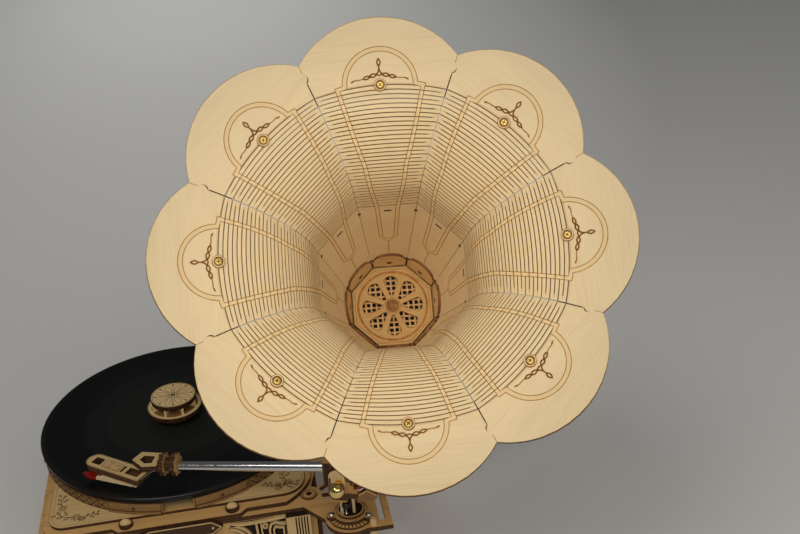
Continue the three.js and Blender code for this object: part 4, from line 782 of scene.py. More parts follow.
def floor_finish():
    """Pale grey, with a soft glow on the backdrop that only the camera sees."""
    made = material("floor_grey", FLOOR_GREY, 0.9, Specular_IOR_Level=0.1)
    tools = Nodes(made)
    split = tools.add("ShaderNodeSeparateXYZ")
    tools.join(tools.coordinates(), split.inputs["Vector"])
    away = []
    for axis, centre, reach in zip((0, 1), GLOW_PLACE, GLOW_REACH):
        offset = tools.maths("MULTIPLY", tools.maths("SUBTRACT", split.outputs[axis], centre), 1 / reach)
        away.append(tools.maths("MULTIPLY", offset, offset))
    distance = tools.maths("SQRT", tools.maths("ADD", *away))
    glow = tools.ramp(distance, [(share, shaded(GLOW_TONE, level)) for share, level in GLOW_LEVELS])
    tools.join(glow, tools.shader.inputs["Emission Color"])
    path = tools.add("ShaderNodeLightPath")
    tools.join(path.outputs["Is Camera Ray"], tools.shader.inputs["Emission Strength"])
    return made


def studio_light():
    """Even light all round, which mirrors see as a dim studio."""
    world = bpy.data.worlds.new("studio")
    world.use_nodes = True
    tree = world.node_tree
    even = tree.nodes["Background"]
    dim = tree.nodes.new("ShaderNodeBackground")
    for node, strength in ((even, WORLD_LIGHT), (dim, WORLD_MIRRORED)):
        node.inputs["Color"].default_value = WORLD_COLOUR
        node.inputs["Strength"].default_value = strength
    path = tree.nodes.new("ShaderNodeLightPath")
    mixed = tree.nodes.new("ShaderNodeMixShader")
    tree.links.new(path.outputs["Is Glossy Ray"], mixed.inputs[0])
    tree.links.new(even.outputs[0], mixed.inputs[1])
    tree.links.new(dim.outputs[0], mixed.inputs[2])
    tree.links.new(mixed.outputs[0], tree.nodes["World Output"].inputs["Surface"])
    bpy.context.scene.world = world


def stage():
    mesh = bpy.data.meshes.new("floor")
    reach = FLOOR_REACH
    mesh.from_pydata([(-reach, -reach, 0), (reach, -reach, 0), (reach, reach, 0), (-reach, reach, 0)],
                     [], [(0, 1, 2, 3)])
    mesh.materials.append(floor_finish())
    floor = linked("floor", mesh)
    studio_light()
    bpy.context.scene.view_settings.view_transform = "Standard"
    for values in LAMPS:
        lamp(*values)
    throat_spot()


# Horn

def horn_matrix():
    elevation = math.radians(HORN_ELEVATION)
    azimuth = math.radians(HORN_AZIMUTH)
    level = math.cos(elevation)
    axis = Vector((-math.sin(azimuth) * level, -math.cos(azimuth) * level, math.sin(elevation)))
    right = Vector((math.cos(azimuth), -math.sin(azimuth), 0))
    up = axis.cross(right)
    return Matrix.Translation(HORN_PLACE) @ Matrix((right, up, axis)).transposed().to_4x4()


def petal_line(length):
    """Radius, height along the horn's axis and slope of a petal's middle line."""
    straight = min(length, STRAIGHT_LENGTH)
    radius = THROAT_RADIUS * math.cos(math.pi / PETALS) + straight * math.sin(START_SLOPE)
    height = straight * math.cos(START_SLOPE)
    rate = (END_SLOPE - START_SLOPE) / BEND_LENGTH
    bend = min(max(length - STRAIGHT_LENGTH, 0), BEND_LENGTH)
    slope = START_SLOPE + rate * bend
    radius += (math.cos(START_SLOPE) - math.cos(slope)) / rate
    height += (math.sin(slope) - math.sin(START_SLOPE)) / rate
    flat = max(length - STRAIGHT_LENGTH - BEND_LENGTH, 0)
    return radius + flat * math.sin(END_SLOPE), height + flat * math.cos(END_SLOPE), slope


def petal_surface(x, length):
    radius, height, slope = petal_line(length)
    return Vector((x, radius, height)), Vector((0, -math.cos(slope), math.sin(slope)))


def half_width(length):
    return petal_line(length)[0] * math.tan(math.pi / PETALS) - between(SEAM_GAPS, length) / 2


def knob(length):
    """How far the seam steps aside at its round tongue."""
    offset = abs(length - KNOB_LENGTH) / KNOB_RADIUS
    return KNOB_REACH * math.sqrt(1 - offset ** 2) if offset < 1 else 0


def band_place(length):
    """Half the distance between the outer lines of a petal's two bands."""
    return between(BAND_PLACES, length)


def kerf_length(number, x):
    """Where a kerf crosses, as a length from the throat: it curls down towards the seams."""
    spread = max(0, number - KERF_SPREAD_FROM)
    curl = KERF_CURL * max(0, 1 - number / KERF_CURL_END)
    return STRAIGHT_LENGTH + BEND_LENGTH - KERF_PITCH * number - KERF_SPREAD * spread ** 2 - curl * x * x


def columns(length):
    """Where the lines along a petal lie, left of its middle line, from the seam inwards."""
    seam = half_width(length)
    stop = seam - KERF_MARGIN
    outer = band_place(length) + LINE_WIDTH / 2
    inner = outer - BAND_WIDTH
    across = [seam, stop, (stop * 2 + outer) / 3, (stop + outer * 2) / 3]
    across += [outer, outer - LINE_WIDTH, inner, inner - LINE_WIDTH]
    across += [(inner - LINE_WIDTH) * share for share in (0.75, 0.5, 0.25)]
    return across


PLAIN_ROWS = [0, 10, 21, 31.8, 45, 57, 66]
LOBE_SHARES = [0.12, 0.25, 0.4, 0.47, 0.52, 0.56, 0.6, 0.65, 0.7, 0.75, 0.8, 0.9, 0.991, 1]
SIDE_COLUMNS = 11
ALL_COLUMNS = 2 * SIDE_COLUMNS + 1


def row_points(row):
    """A row of (x, length) across the petal, from its left seam to its right one."""
    signs = [(-1, i) for i in range(SIDE_COLUMNS)] + [(0, 0)]
    signs += [(1, i) for i in reversed(range(SIDE_COLUMNS))]
    points = []
    for sign, column in signs:
        length = row(0)
        for _ in range(4):
            x = sign * columns(length)[column] if sign else 0
            length = row(x)
        if column == 0 and sign:
            x += knob(length)
        points.append((x, length))
    return points


def petal_rows(kerf_half_width):
    """All rows of a petal from the throat outwards, with each row's kerf number."""
    rows = [(row_points(lambda x, length=length: length), KERFS - 0.5) for length in PLAIN_ROWS]
    for number in reversed(range(KERFS)):
        for side in (-1, 1):
            edge = row_points(lambda x: kerf_length(number, x) + side * kerf_half_width)
            rows.append((edge, number - side * KERF_HALF_WIDTH / KERF_PITCH))
    first = rows[-1][0]
    notch = half_width(NOTCH_LENGTH)
    edge_radius = (notch ** 2 + LOBE_RISE ** 2) / (2 * LOBE_RISE)
    grown = notch / half_width(first[0][1])
    for share in LOBE_SHARES:
        points = []
        for number, (x, length) in enumerate(first):
            if number in (0, ALL_COLUMNS - 1):
                side_length = length + (NOTCH_LENGTH - length) * share
                sign = -1 if number == 0 else 1
                points.append((sign * half_width(side_length) + knob(side_length), side_length))
                continue
            end_x = x * grown
            end = NOTCH_LENGTH + LOBE_RISE - edge_radius + math.sqrt(edge_radius ** 2 - end_x ** 2)
            points.append((x + (end_x - x) * share, length + (end - length) * share))
        rows.append((points, -0.5))
    return rows


def is_slit(row, column):
    """True where the petal is cut through: kerfs in turn stop at the bands and short of the seams."""
    kerf_row = row - len(PLAIN_ROWS)
    if kerf_row < 0 or kerf_row >= 2 * KERFS or kerf_row % 2:
        return False
    number = KERFS - 1 - kerf_row // 2
    mirrored = min(column, ALL_COLUMNS - 2 - column)
    if number % 2:
        return mirrored > 0
    return mirrored != 5


def petal_shape():
    front = petal_rows(KERF_HALF_WIDTH)
    rear = petal_rows(KERF_BACK_HALF_WIDTH)
    shape = Shape()
    values = {"kerf": [], "cut": []}
    coordinates = []
    for depth, rows in ((0, front), (PETAL_THICKNESS, rear)):
        for row, (points, kerf) in enumerate(rows):
            number = KERFS - 1 - (row - len(PLAIN_ROWS)) // 2
            for column, (x, length) in enumerate(points):
                at_seam = column in (0, ALL_COLUMNS - 1)
                values["cut"].append(0.0 if at_seam and number % 2 else 1.0)
                place, normal = petal_surface(x, length)
                shape.points.append(place - normal * depth)
                values["kerf"].append(kerf)
                coordinates.append((x * MM, length * MM))
    back = len(rows) * ALL_COLUMNS
    quads = {}
    for row in range(len(rows) - 1):
        for column in range(ALL_COLUMNS - 1):
            if not is_slit(row, column):
                quads[row, column] = True
    for row, column in quads:
        a = row * ALL_COLUMNS + column
        b, c, d = a + 1, a + ALL_COLUMNS + 1, a + ALL_COLUMNS
        mirrored = min(column, ALL_COLUMNS - 2 - column)
        kind = FACE
        if len(PLAIN_ROWS) - 4 <= row < len(PLAIN_ROWS) + 2 * KERFS - 1:
            kind = {4: LINE, 5: BAND, 6: LINE}.get(mirrored, FACE)
        if row == len(rows) - 2:
            kind = RIM
        shape.faces += [(a, b, c, d), (a + back, d + back, c + back, b + back)]
        shape.kinds += [kind, FACE]
        for beside, start, end in (((row - 1, column), a, b), ((row, column + 1), b, c),
                                   ((row + 1, column), c, d), ((row, column - 1), d, a)):
            if beside not in quads:
                shape.faces.append((start, start + back, end + back, end))
                shape.kinds.append(EDGE)
    return shape, values, coordinates


# The petal's ornament, with lengths from the throat
SCROLL_WIDTH = 0.36
SCROLL_STEP = 0.8
ARCH_CENTRE = 148.3
ARCH_OUTER = 18.2
ARCH_INNER = 16
EAR_WIDTH = 21.8
EAR_START = 146
EAR_LENGTH = 147.5
SPRIG_BUD = 153.3
SPRIG_TAIL = [(8.0, 151.3), (10.0, 150.9), (12.0, 150.8), (13.9, 149.9)]
TIP_HALF_WIDTH = 4.9
TIP_START = 31.8
TIP_END = 25.5
TIP_INNER_END = 28.6
TIP_STEM_END = 9.5
SCREW_SLOT = (2.05, 63.9, 65.3)
SEAM_DOT = (0.8, 61.3, 63.9)
SEAM_STEP = 0.25
# Start, end, width and kind of the lines along a petal's seam; the near-black one from 140 to 150.5 is
# painted shade across the gap, where the hoop behind lies in shadow
SEAM_LINES = [(9, 106, 0.3, FACE), (140, 150.5, 0.5, RIM), (150.5, 159.6, 0.3, LINE)]


def leaf(start, end, width):
    """A small pointed loop between two points."""
    first = Vector(start)
    last = Vector(end)
    along = last - first
    aside = Vector((-along.y, along.x)).normalized() * width / 2
    sides = [first + along * share + aside * math.sin(math.pi * share) for share in (0, 0.2, 0.5, 0.8, 1)]
    others = [first + along * share - aside * math.sin(math.pi * share) for share in (0.8, 0.5, 0.2)]
    return [tuple(point) for point in sides + others]


def engraving_shape():
    """The petal's burnt ornament: an arch with ears, a sprig over the screw and the band's point."""
    shape = Shape()
    surface = petal_surface

    def scroll(path, closed=False):
        shape.add(ribbon(surface, path, SCROLL_WIDTH * 2.3, closed, SCROLL_STEP, LIFT * 0.6), kind=LINE)
        shape.add(ribbon(surface, path, SCROLL_WIDTH, closed, SCROLL_STEP))

    middle = (ARCH_OUTER + ARCH_INNER) / 2
    band_path = arc(0, ARCH_CENTRE, middle, -3, 183, 40)
    shape.add(ribbon(surface, band_path, ARCH_OUTER - ARCH_INNER, lift=LIFT * 0.5), kind=BAND)
    for side in (-1, 1):
        ear = [(side * EAR_WIDTH, EAR_START), (side * EAR_WIDTH, EAR_LENGTH),
               (side * ARCH_OUTER, ARCH_CENTRE + 0.2)]
        shape.add(ribbon(surface, ear, LINE_WIDTH), kind=LINE)
        for first, last in (((EAR_WIDTH - 1, EAR_START), (EAR_WIDTH - 1, EAR_LENGTH - 0.2)),
                            ((EAR_WIDTH - 0.4, EAR_LENGTH - 1), (ARCH_OUTER - 1, ARCH_CENTRE - 0.6))):
            pale = [(side * x, length) for x, length in (first, last)]
            shape.add(ribbon(surface, pale, BAND_WIDTH - LINE_WIDTH, lift=LIFT * 0.4), kind=BAND)
        scroll(leaf((side * 1.4, 153.0), (side * 4.8, 152.4), 1.7), True)
        scroll(leaf((side * 4.5, 152.3), (side * 8.0, 151.3), 1.5), True)
        tail = smooth_path([(side * x, length) for x, length in SPRIG_TAIL])
        shape.add(ribbon(surface, tail, 0.6), kind=LINE)
        scroll([(side * 12.4, 150.65), (side * 13.9, 149.9)])
        scroll(smooth_path([(side * 1.6, SPRIG_BUD), (side * 0.6, 154.1), (0, 155.8)]))
        for half, end in ((TIP_HALF_WIDTH, TIP_END), (TIP_HALF_WIDTH - BAND_WIDTH, TIP_INNER_END)):
            shape.add(ribbon(surface, [(side * half, TIP_START), (0, end)], LINE_WIDTH), kind=LINE)
    shape.add(ribbon(surface, arc(0, ARCH_CENTRE, ARCH_OUTER, 0, 180, 40), LINE_WIDTH), kind=LINE)
    shape.add(ribbon(surface, arc(0, ARCH_CENTRE, ARCH_INNER, -5, 185, 40), LINE_WIDTH), kind=LINE)
    scroll(smooth_path([(-1.6, 153.2), (0, 152.7), (1.6, 153.2)]))
    scroll([(0, 155.6), (0, 157)])
    scroll(leaf((0, 157.2), (0, 160.6), 1.7), True)
    shape.add(ribbon(surface, [(0, TIP_END), (0, TIP_STEM_END)], LINE_WIDTH), kind=LINE)
    half, low, high = SCREW_SLOT
    shape.add(patch(surface, rectangle(-half, low, half, high), kind=RIM))
    wide, low, high = SEAM_DOT
    for side in (-1, 1):
        edge = side * (half_width((low + high) / 2) - 0.1)
        inner = edge - side * wide
        dot = [(edge, low), (edge, high), (inner, high - 0.6), (inner, low + 0.6)]
        shape.add(patch(surface, dot, kind=RIM))
    # Lines along the seams, the middle one painted shade over the gap
    for start, end, width, kind in SEAM_LINES:
        count = round((end - start) / SEAM_STEP)
        lengths = [start + (end - start) * i / count for i in range(count + 1)]
        seam = [(half_width(length) + between(SEAM_GAPS, length) / 2 + knob(length), length)
                for length in lengths]
        shape.add(ribbon(surface, seam, width, step=9), kind=kind)
    return shape


RING_RADIUS = 3.05
SCREW_RADIUS = 1.85
SCREW_RISE = 1.35
SCREW_FOOT = 0.2
SCREW_ARM = 0.3


def screw_ring():
    """The small wooden ring that a petal's screw goes through."""
    shape = Shape()
    shape.add(slab(circle(0, 0, RING_RADIUS, 40), [circle(0, 0, SCREW_RADIUS + 0.25, 32)], 0, 1.2))
    shape.ring(1.2, SCREW_RADIUS + 0.35, 0.2, count=40)
    shape.ring(1.2, RING_RADIUS - 0.12, 0.24, count=40)
    return shape


def screw():
    """A pan head with a cross recess, whose floor is painted shade in dark brass."""
    radius, rise, arm = SCREW_RADIUS, SCREW_RISE, SCREW_ARM
    shape = Shape()
    flat = radius * 0.66
    reach = radius * 0.55
    cross = []
    for quarter in range(4):
        cross += spun([(reach, -arm), (reach, arm), (arm, arm)], quarter * math.pi / 2)
    top = circle(0, 0, flat, 32)
    shape.add(slab(top, [cross], rise - 0.5, rise), kind=FACE)
    # The recess floor, in dark brass as painted shade
    shape.add(slab(cross, (), rise - 0.5, rise - 0.42), kind=EDGE)
    bowl = [(flat, rise), (radius * 0.86, rise - 0.14), (radius, rise - 0.5), (radius, SCREW_FOOT),
            (flat, SCREW_FOOT)]
    shape.add(turned(bowl, 32))
    return shape


def petals():
    horn = horn_matrix()
    shape, values, coordinates = petal_shape()
    ornament = engraving_shape()
    ring = screw_ring()
    head = screw()
    for number in range(PETALS):
        place = horn @ Matrix.Rotation(-number * math.tau / PETALS, 4, "Z")
        name = f"petal_{number + 1}"
        made = piece(name, shape, [petal_wood, kerf_edge, amber_line, petal_band, rim], "base",
                     place, [f"horn_petal_{number + 1}"], values=values)
        layer = made.data.uv_layers.new(name="UVMap")
        shift = number * 0.37
        for loop in made.data.loops:
            u, v = coordinates[loop.vertex_index]
            layer.data[loop.index].uv = (u + shift, v + shift)
        piece(f"petal_engraving_{number + 1}", ornament, [dark_line, dark_line, amber_line, petal_band, char_and_painted_shade],
              "base", place)
        spot, normal = petal_surface(0, STRAIGHT_LENGTH + BEND_LENGTH)
        along = Vector((0, math.sin(END_SLOPE), math.cos(END_SLOPE)))
        face = Matrix((along.cross(normal), along, normal)).transposed().to_4x4()
        seat = place @ Matrix.Translation(spot) @ face
        piece(f"screw_ring_{number + 1}", ring, [petal_band, amber_line, brown_line], "base",
              seat)
        turn = Matrix.Rotation(random.uniform(0, math.pi / 2), 4, "Z")
        piece(f"petal_screw_{number + 1}", head, [screw_brass, brass_painted_shade], "base", seat @ turn)


GRILLE_TOP = -8.7
GRILLE_THICKNESS = 2
GRILLE_APOTHEM = 22.95
GRILLE_CIRCLE = 20.1
GRILLE_CENTRE_HOLE = 3.3
GRILLE_HUB = 4.5
GRILLE_WIRE_PITCH = 1.15
OPENING_INNER = (6.6, 1.2)
OPENING_OUTER = (12.95, 4.75)
OPENING_SPREAD = 63.2
GAUZE_PITCH = 3.1
GAUZE_BAR = 1.05
CROWN_FACE = 23.72
CROWN_LEAN = 6.6
CROWN_SHOULDER = 8.4
CROWN_ARCH = 7.4
CROWN_HOLE = 5.6
HEART_SCALE = 1.5
CROWN_WALL = 1.8
CROWN_FLOOR = -3


def opening(angle):
    """A tapered opening of the grille with a round end towards the centre and a wide arch outwards."""
    centre, radius = OPENING_INNER
    points = arc(centre, 0, radius, 97, 263, 10)
    centre, radius = OPENING_OUTER
    points += arc(centre, 0, radius, -OPENING_SPREAD, OPENING_SPREAD, 16)
    return spun(points, angle)


def octagon(apothem):
    return circle(0, 0, apothem / math.cos(math.pi / PETALS), PETALS, math.pi / PETALS)


def grille(place):
    holes = [opening(i * math.tau / PETALS) for i in range(PETALS)]
    holes.append(circle(0, 0, GRILLE_CENTRE_HOLE, 32))
    shape = Shape().add(slab(octagon(GRILLE_APOTHEM), holes, GRILLE_TOP - GRILLE_THICKNESS, GRILLE_TOP))
    surface = plane(GRILLE_TOP)
    shape.ring(GRILLE_TOP, GRILLE_CIRCLE, 1.3, BAND)
    shape.ring(GRILLE_TOP, GRILLE_HUB, 0.5, BAND, 40)
    shape.ring(GRILLE_TOP, GRILLE_CENTRE_HOLE + 0.2, 0.45, count=40)
    shape.add(ribbon(surface, octagon(GRILLE_APOTHEM - 1.3), 0.35, True, step=40), kind=BAND)
    for hole in holes[:-1]:
        shape.add(ribbon(surface, hole, 0.3, True, 1), kind=BAND)
    low = GRILLE_TOP - GRILLE_THICKNESS
    high = GRILLE_TOP - 0.5
    shape.add(slab(circle(0, 0, GRILLE_CENTRE_HOLE + 0.3, 32), (), low - 0.6, high), kind=BAND)
    for i in (-2, -1, 0, 1, 2):
        x = i * GRILLE_WIRE_PITCH
        reach = math.sqrt((GRILLE_CENTRE_HOLE - 0.2) ** 2 - x ** 2)
        for path in ([(x, -reach), (x, reach)], [(-reach, x), (reach, x)]):
            shape.add(ribbon(plane(high), path, 0.22), kind=LINE)
    piece("grille_face", shape, [grille_wood, burnt_edge, dark_line, brown_line], "base", place,
          ["speaker_grille"])


def gauze_sheet(place):
    low = GRILLE_TOP - GRILLE_THICKNESS - 0.7
    rows = int(GRILLE_CIRCLE // GAUZE_PITCH)
    half = (GAUZE_PITCH - GAUZE_BAR) / 2
    loops = []
    for i in range(-rows, rows):
        for j in range(-rows, rows):
            x = (i + 0.5) * GAUZE_PITCH
            y = (j + 0.5) * GAUZE_PITCH
            if math.hypot(x, y) < GRILLE_CIRCLE - GAUZE_PITCH / 2:
                loops.append([(x - half, y - half), (x - half, y + half),
                              (x + half, y + half), (x + half, y - half)])
    sheet = Shape().add(slab(circle(0, 0, GRILLE_CIRCLE, 64), loops, low - 0.3, low))
    sheet.add(slab(octagon(CROWN_FACE - 0.05), [circle(0, 0, GRILLE_CIRCLE, 64)], low - 0.3, low), kind=LINE)
    piece("speaker_gauze", sheet, [gauze, gauze, char_and_painted_shade], "base", place)


def crown_matrix(number):
    """The frame of one crown lobe: X across, Y up the leaning plate from the grille's level, Z inwards."""
    turn = Matrix.Rotation(number * math.tau / PETALS, 4, "Z")
    lean = math.radians(CROWN_LEAN)
    columns = Matrix(((1, 0, 0), (0, math.sin(lean), math.cos(lean)), (0, -math.cos(lean), math.sin(lean))))
    return turn @ Matrix.Translation((0, CROWN_FACE, GRILLE_TOP)) @ columns.transposed().to_4x4()


def crown_half(rise):
    return (CROWN_FACE + rise * math.sin(math.radians(CROWN_LEAN))) * math.tan(math.pi / PETALS)


def crown(place):
    """The eight lobed plates round the grille, each with an arch between two small shoulders, in a colour
    paled as painted light.
    """
    top = CROWN_SHOULDER
    half = crown_half(top)
    arch = [((half - 1.5) * x, top + 0.9 + CROWN_ARCH * y) for x, y in arc(0, 0, 1, 0, 180, 20)]
    shoulder = [(half, top), (half - 0.35, top + 0.7), (half - 1, top + 0.95)]
    foot = crown_half(CROWN_FLOOR)
    outline = [(-foot, CROWN_FLOOR), (foot, CROWN_FLOOR), *shoulder, *arch]
    outline += [(-x, y) for x, y in reversed(shoulder)]
    lobe = slab(outline, (), -CROWN_WALL, 0)
    shape = Shape()
    for number in range(PETALS):
        shape.add(lobe, crown_matrix(number))
    piece("crown_lobes", shape, [crown_wood_painted_light, crown_edge], "base", place, ["throat_crown"])


def crown_trim(place):
    """The small dark hearts and the joints of the crown's eight lobes."""
    surface = plane(0)
    right = [(1.05, 0.2), (0.95, 0.8), (0.4, 0.95)]
    heart = [(0, -1.1), *right, (0, 0.65), *[(-x, y) for x, y in reversed(right)]]
    heart = [(HEART_SCALE * x, CROWN_HOLE + HEART_SCALE * y) for x, y in heart]
    shape = Shape()
    for number in range(PETALS):
        lobe = crown_matrix(number)
        shape.add(patch(surface, heart, 0.1, LINE), lobe)
        for side in (-1, 1):
            joint = [(side * (crown_half(rise) - 0.3), rise) for rise in (0, CROWN_SHOULDER)]
            shape.add(ribbon(surface, joint, 0.5, lift=0.1), lobe, LINE)
            foot = [(side * 1.9, 0.25), (side * (crown_half(0) - 0.3), 0.25)]
            shape.add(ribbon(surface, foot, 0.5, lift=0.1), lobe, LINE)
    piece("crown_trim", shape, [char_and_painted_shade, char_and_painted_shade, char_and_painted_shade], "base", place)


def throat():
    place = horn_matrix()
    grille(place)
    gauze_sheet(place)
    crown(place)
    crown_trim(place)
    axis = place.to_3x3() @ Vector((0, 0, 1))

    def faces_mouth(normal, centre):
        return int(normal.dot(axis) > 0)

    # Painted shade: the hoop's faces towards the mouth are near black, for the hoop in shadow behind the
    # seams
    dress_by("horn_hoop", [tan, char_and_painted_shade], faces_mouth)
    dress("throat_collar", tan, burnt_edge)
    dress("speaker_driver", black)
    dress("speaker_housing", tan, burnt_edge)
    dress("horn_neck", tan)
    dress("neck_socket", tan, level_edge)


# Record player

def record():
    """The disc with its label and a sunk band of grooves, on the platter and the spindle."""
    shape = Shape()
    hole = SPINDLE_RADIUS + 0.4
    sunk = RECORD_TOP - RECORD_SINK
    shoulder = RECORD_RADIUS - RECORD_EDGE
    profile = [(hole, RECORD_TOP), (LABEL_RADIUS, RECORD_TOP), (LABEL_RADIUS + 0.3, sunk),
               (GROOVE_INNER, sunk), (GROOVE_OUTER, sunk), (GROOVE_OUTER + 0.8, RECORD_TOP),
               (shoulder, RECORD_TOP), (RECORD_RADIUS, RECORD_TOP - RECORD_EDGE),
               (RECORD_RADIUS, RECORD_BOTTOM + RECORD_EDGE), (shoulder, RECORD_BOTTOM), (hole, RECORD_BOTTOM)]
    shape.add(turned(profile, 192, [LINE, EDGE, EDGE, FACE] + [EDGE] * 7))
    piece("record_disc", shape, [grooved_vinyl, plain_vinyl, label_paper], "turntable",
          replaces=["record"], smooth=20)
    dress("platter", black)
    dress("spindle", steel)
    dress("crown_wheel", tan, level_edge)
    dress("platter_gear", birch, level_edge)


def clamp_foot():
    """The clamp's lower disc, with a pad under it, eight fins round its neck and a ring of painted shade
    under the cap.
    """
    bore = SPINDLE_RADIUS + CLAMP_GAP
    foot = Shape().add(slab(circle(0, 0, CLAMP_RADIUS, 72), [circle(0, 0, bore, 24)], CLAMP_LOW, CLAMP_TOP))
    for radius, low, high in ((CLAMP_NECK_RADIUS, CLAMP_TOP, CLAMP_NECK_TOP),
                              (CLAMP_FOOT_RADIUS, CLAMP_LOW - CLAMP_FOOT_HEIGHT, CLAMP_LOW)):
        foot.add(turned([(bore, low), (radius, low), (radius, high), (bore, high)], 48), kind=EDGE)
    fin = rounded(CLAMP_NECK_RADIUS - 1, -0.7, CLAMP_CAP_RADIUS + 0.6, 0.7, 0.3)
    for number in range(PETALS):
        turn = Matrix.Rotation((number + 0.5) * math.tau / PETALS, 4, "Z")
        foot.add(slab(fin, (), CLAMP_TOP, CLAMP_NECK_TOP), turn, FACE)
    # Painted shade: a broad dark tan ring on the disc's top, under the cap
    foot.ring(CLAMP_TOP, 12.4, 5.6, BAND)
    foot.ring(CLAMP_TOP, CLAMP_RADIUS - 0.5, 0.3)
    piece("clamp_foot", foot, [clamp_wood, burnt_edge, dark_line, dark_tan_and_painted_shade], "record_clamp",
          replaces=["clamp_base"])


def clamp_rosette():
    """The clamp's cap with burnt darts, spokes and wings, and the pin in its middle."""
    top = CLAMP_CAP_TOP
    end = CLAMP_CAP_RADIUS - 2
    surface = plane(top)
    side = smooth_path([(2.6, 0), (6, 1.3), (9.6, 1.5), (end - 0.6, 0.5)])
    cap = Shape()
    hole = rounded(-1.3, -1.3, 1.3, 1.3, 0.2)
    cap.add(slab(circle(0, 0, CLAMP_CAP_RADIUS, 72), [hole], CLAMP_NECK_TOP, top))
    for number in range(PETALS):
        angle = number * math.tau / PETALS
        cap.add(patch(surface, spun([(end - 2.6, 0), (end, -0.75), (end, 0.75)], angle), kind=LINE))
        cap.add(ribbon(surface, spun([(2.6, 0), (end - 2, 0)], angle), 0.28), kind=LINE)
        for sign in (-1, 1):
            wing = spun([(x, sign * y) for x, y in side], (number + 0.5) * math.tau / PETALS)
            cap.add(ribbon(surface, wing, 0.3), kind=BAND)
    cap.ring(top, CLAMP_CAP_RADIUS - 1.1, 0.3)
    cap.ring(top, CLAMP_CAP_RADIUS - 0.15, 0.3)
    cap.ring(top, 2.5, 0.3, count=32)
    piece("clamp_rosette", cap, [clamp_wood, burnt_edge, dark_line, brown_line], "record_clamp",
          replaces=["clamp_cap"])
    pin = turned([(0, top - 2.5), (1.5, top - 2.5), (1.5, top - 0.6), (0, top - 0.3)], 20)
    piece("clamp_pin", Shape().add(pin), [steel], "record_clamp")


# Deck

def ring_surface(angle, height):
    """The outer face of the strips round the platter, with the angle in degrees."""
    turn = math.radians(angle)
    normal = Vector((math.cos(turn), math.sin(turn), 0))
    return normal * RING_OUTER + Vector((0, 0, height)), normal


def strip_part(start, end, bottom, top, inner, outer, steps):
    """A stretch of the bent strip between two bearings."""
    outline = arc(0, 0, outer, start, end, steps) + arc(0, 0, inner, end, start, steps)
    return slab(outline, (), bottom, top)


def rings():
    """The two bent strips round the platter: lattice between three plain stretches."""
    degree = math.degrees(1 / RING_OUTER)
    low = INLAY_TOP + 0.6
    high = RING_TOP - 0.6
    reach = RING_PLAIN_ANGLE / 2

    def line(shape, path, width, closed=False, step=2):
        scaled = [(angle / degree, height) for angle, height in path]
        shape.add(ribbon(lambda x, y: ring_surface(x * degree, y), scaled, width, closed, step), kind=LINE)

    for name, back in (("ring_left", 90), ("ring_right", -90)):
        start = back + RING_GAP_ANGLE
        middle = back + 90
        end = back + 180 - RING_GAP_ANGLE
        shape = Shape().add(strip_part(start, end, INLAY_TOP, RING_TOP, RING_INNER, RING_OUTER, 90))
        for first, last in ((start + RING_PLAIN_ANGLE, middle - 8), (middle + 8, end - RING_PLAIN_ANGLE)):
            cells = round((last - first) / (6 * degree))
            step = (last - first) / cells
            for cell in range(cells):
                a = first + cell * step
                line(shape, [(a, low), (a + step, high)], 0.55)
                line(shape, [(a, high), (a + step, low)], 0.55)
                line(shape, [(a, low), (a, high)], 0.4)
            for height in (low, high):
                line(shape, [(first, height), (last, height)], 0.35)
        for place in (start + reach, middle, end - reach):
            hole = [(place + x * degree, (low + high) / 2 + y) for x, y in circle(0, 0, 0.7, 12)]
            line(shape, hole, 0.5, True, 1)
            for edge in (place - reach + 0.8, place + reach - 0.8):
                line(shape, [(edge, INLAY_TOP), (edge, RING_TOP)], 0.4)
            shape.add(strip_part(place - reach + 1, place + reach - 1, INLAY_TOP, INLAY_TOP + 1.8,
                                 RING_OUTER, RING_OUTER + 1, 10))
        piece(f"{name}_strip", shape, [level_edge, ring_up, char_and_painted_shade, scorch], "base", replaces=[name])


def spray(shape, surface, x, y, turn, size):
    """A generic sprig of leaves and a round flower, burnt into the wood."""
    angle = math.radians(turn)

    def spot(along, aside):
        return (x + size * (along * math.cos(angle) - aside * math.sin(angle)),
                y + size * (along * math.sin(angle) + aside * math.cos(angle)))

    stem = smooth_path([spot(0, 0), spot(0.5, 0.12), spot(1, 0.02), spot(1.5, -0.22)])
    shape.add(ribbon(surface, stem, 0.35), kind=LINE)
    for along, side, turned_by, length in ((0.35, 1, 50, 0.45), (0.6, -1, -48, 0.5), (0.85, 1, 42, 0.42),
                                           (1.1, -1, -40, 0.4), (1.35, 1, 30, 0.34)):
        way = math.radians(turned_by)
        start = spot(along, 0.06 * side)
        end = spot(along + length * math.cos(way), 0.06 * side + length * math.sin(way))
        shape.add(ribbon(surface, leaf(start, end, size * 0.2), 0.3, True, 1), kind=LINE)
        shape.add(ribbon(surface, [start, end], 0.22), kind=LINE)
    for petal in range(7):
        way = petal * math.tau / 7
        start = spot(-0.1 + 0.1 * math.cos(way), 0.1 * math.sin(way))
        end = spot(-0.1 + 0.36 * math.cos(way), 0.36 * math.sin(way))
        shape.add(ribbon(surface, leaf(start, end, size * 0.16), 0.28, True, 1), kind=LINE)


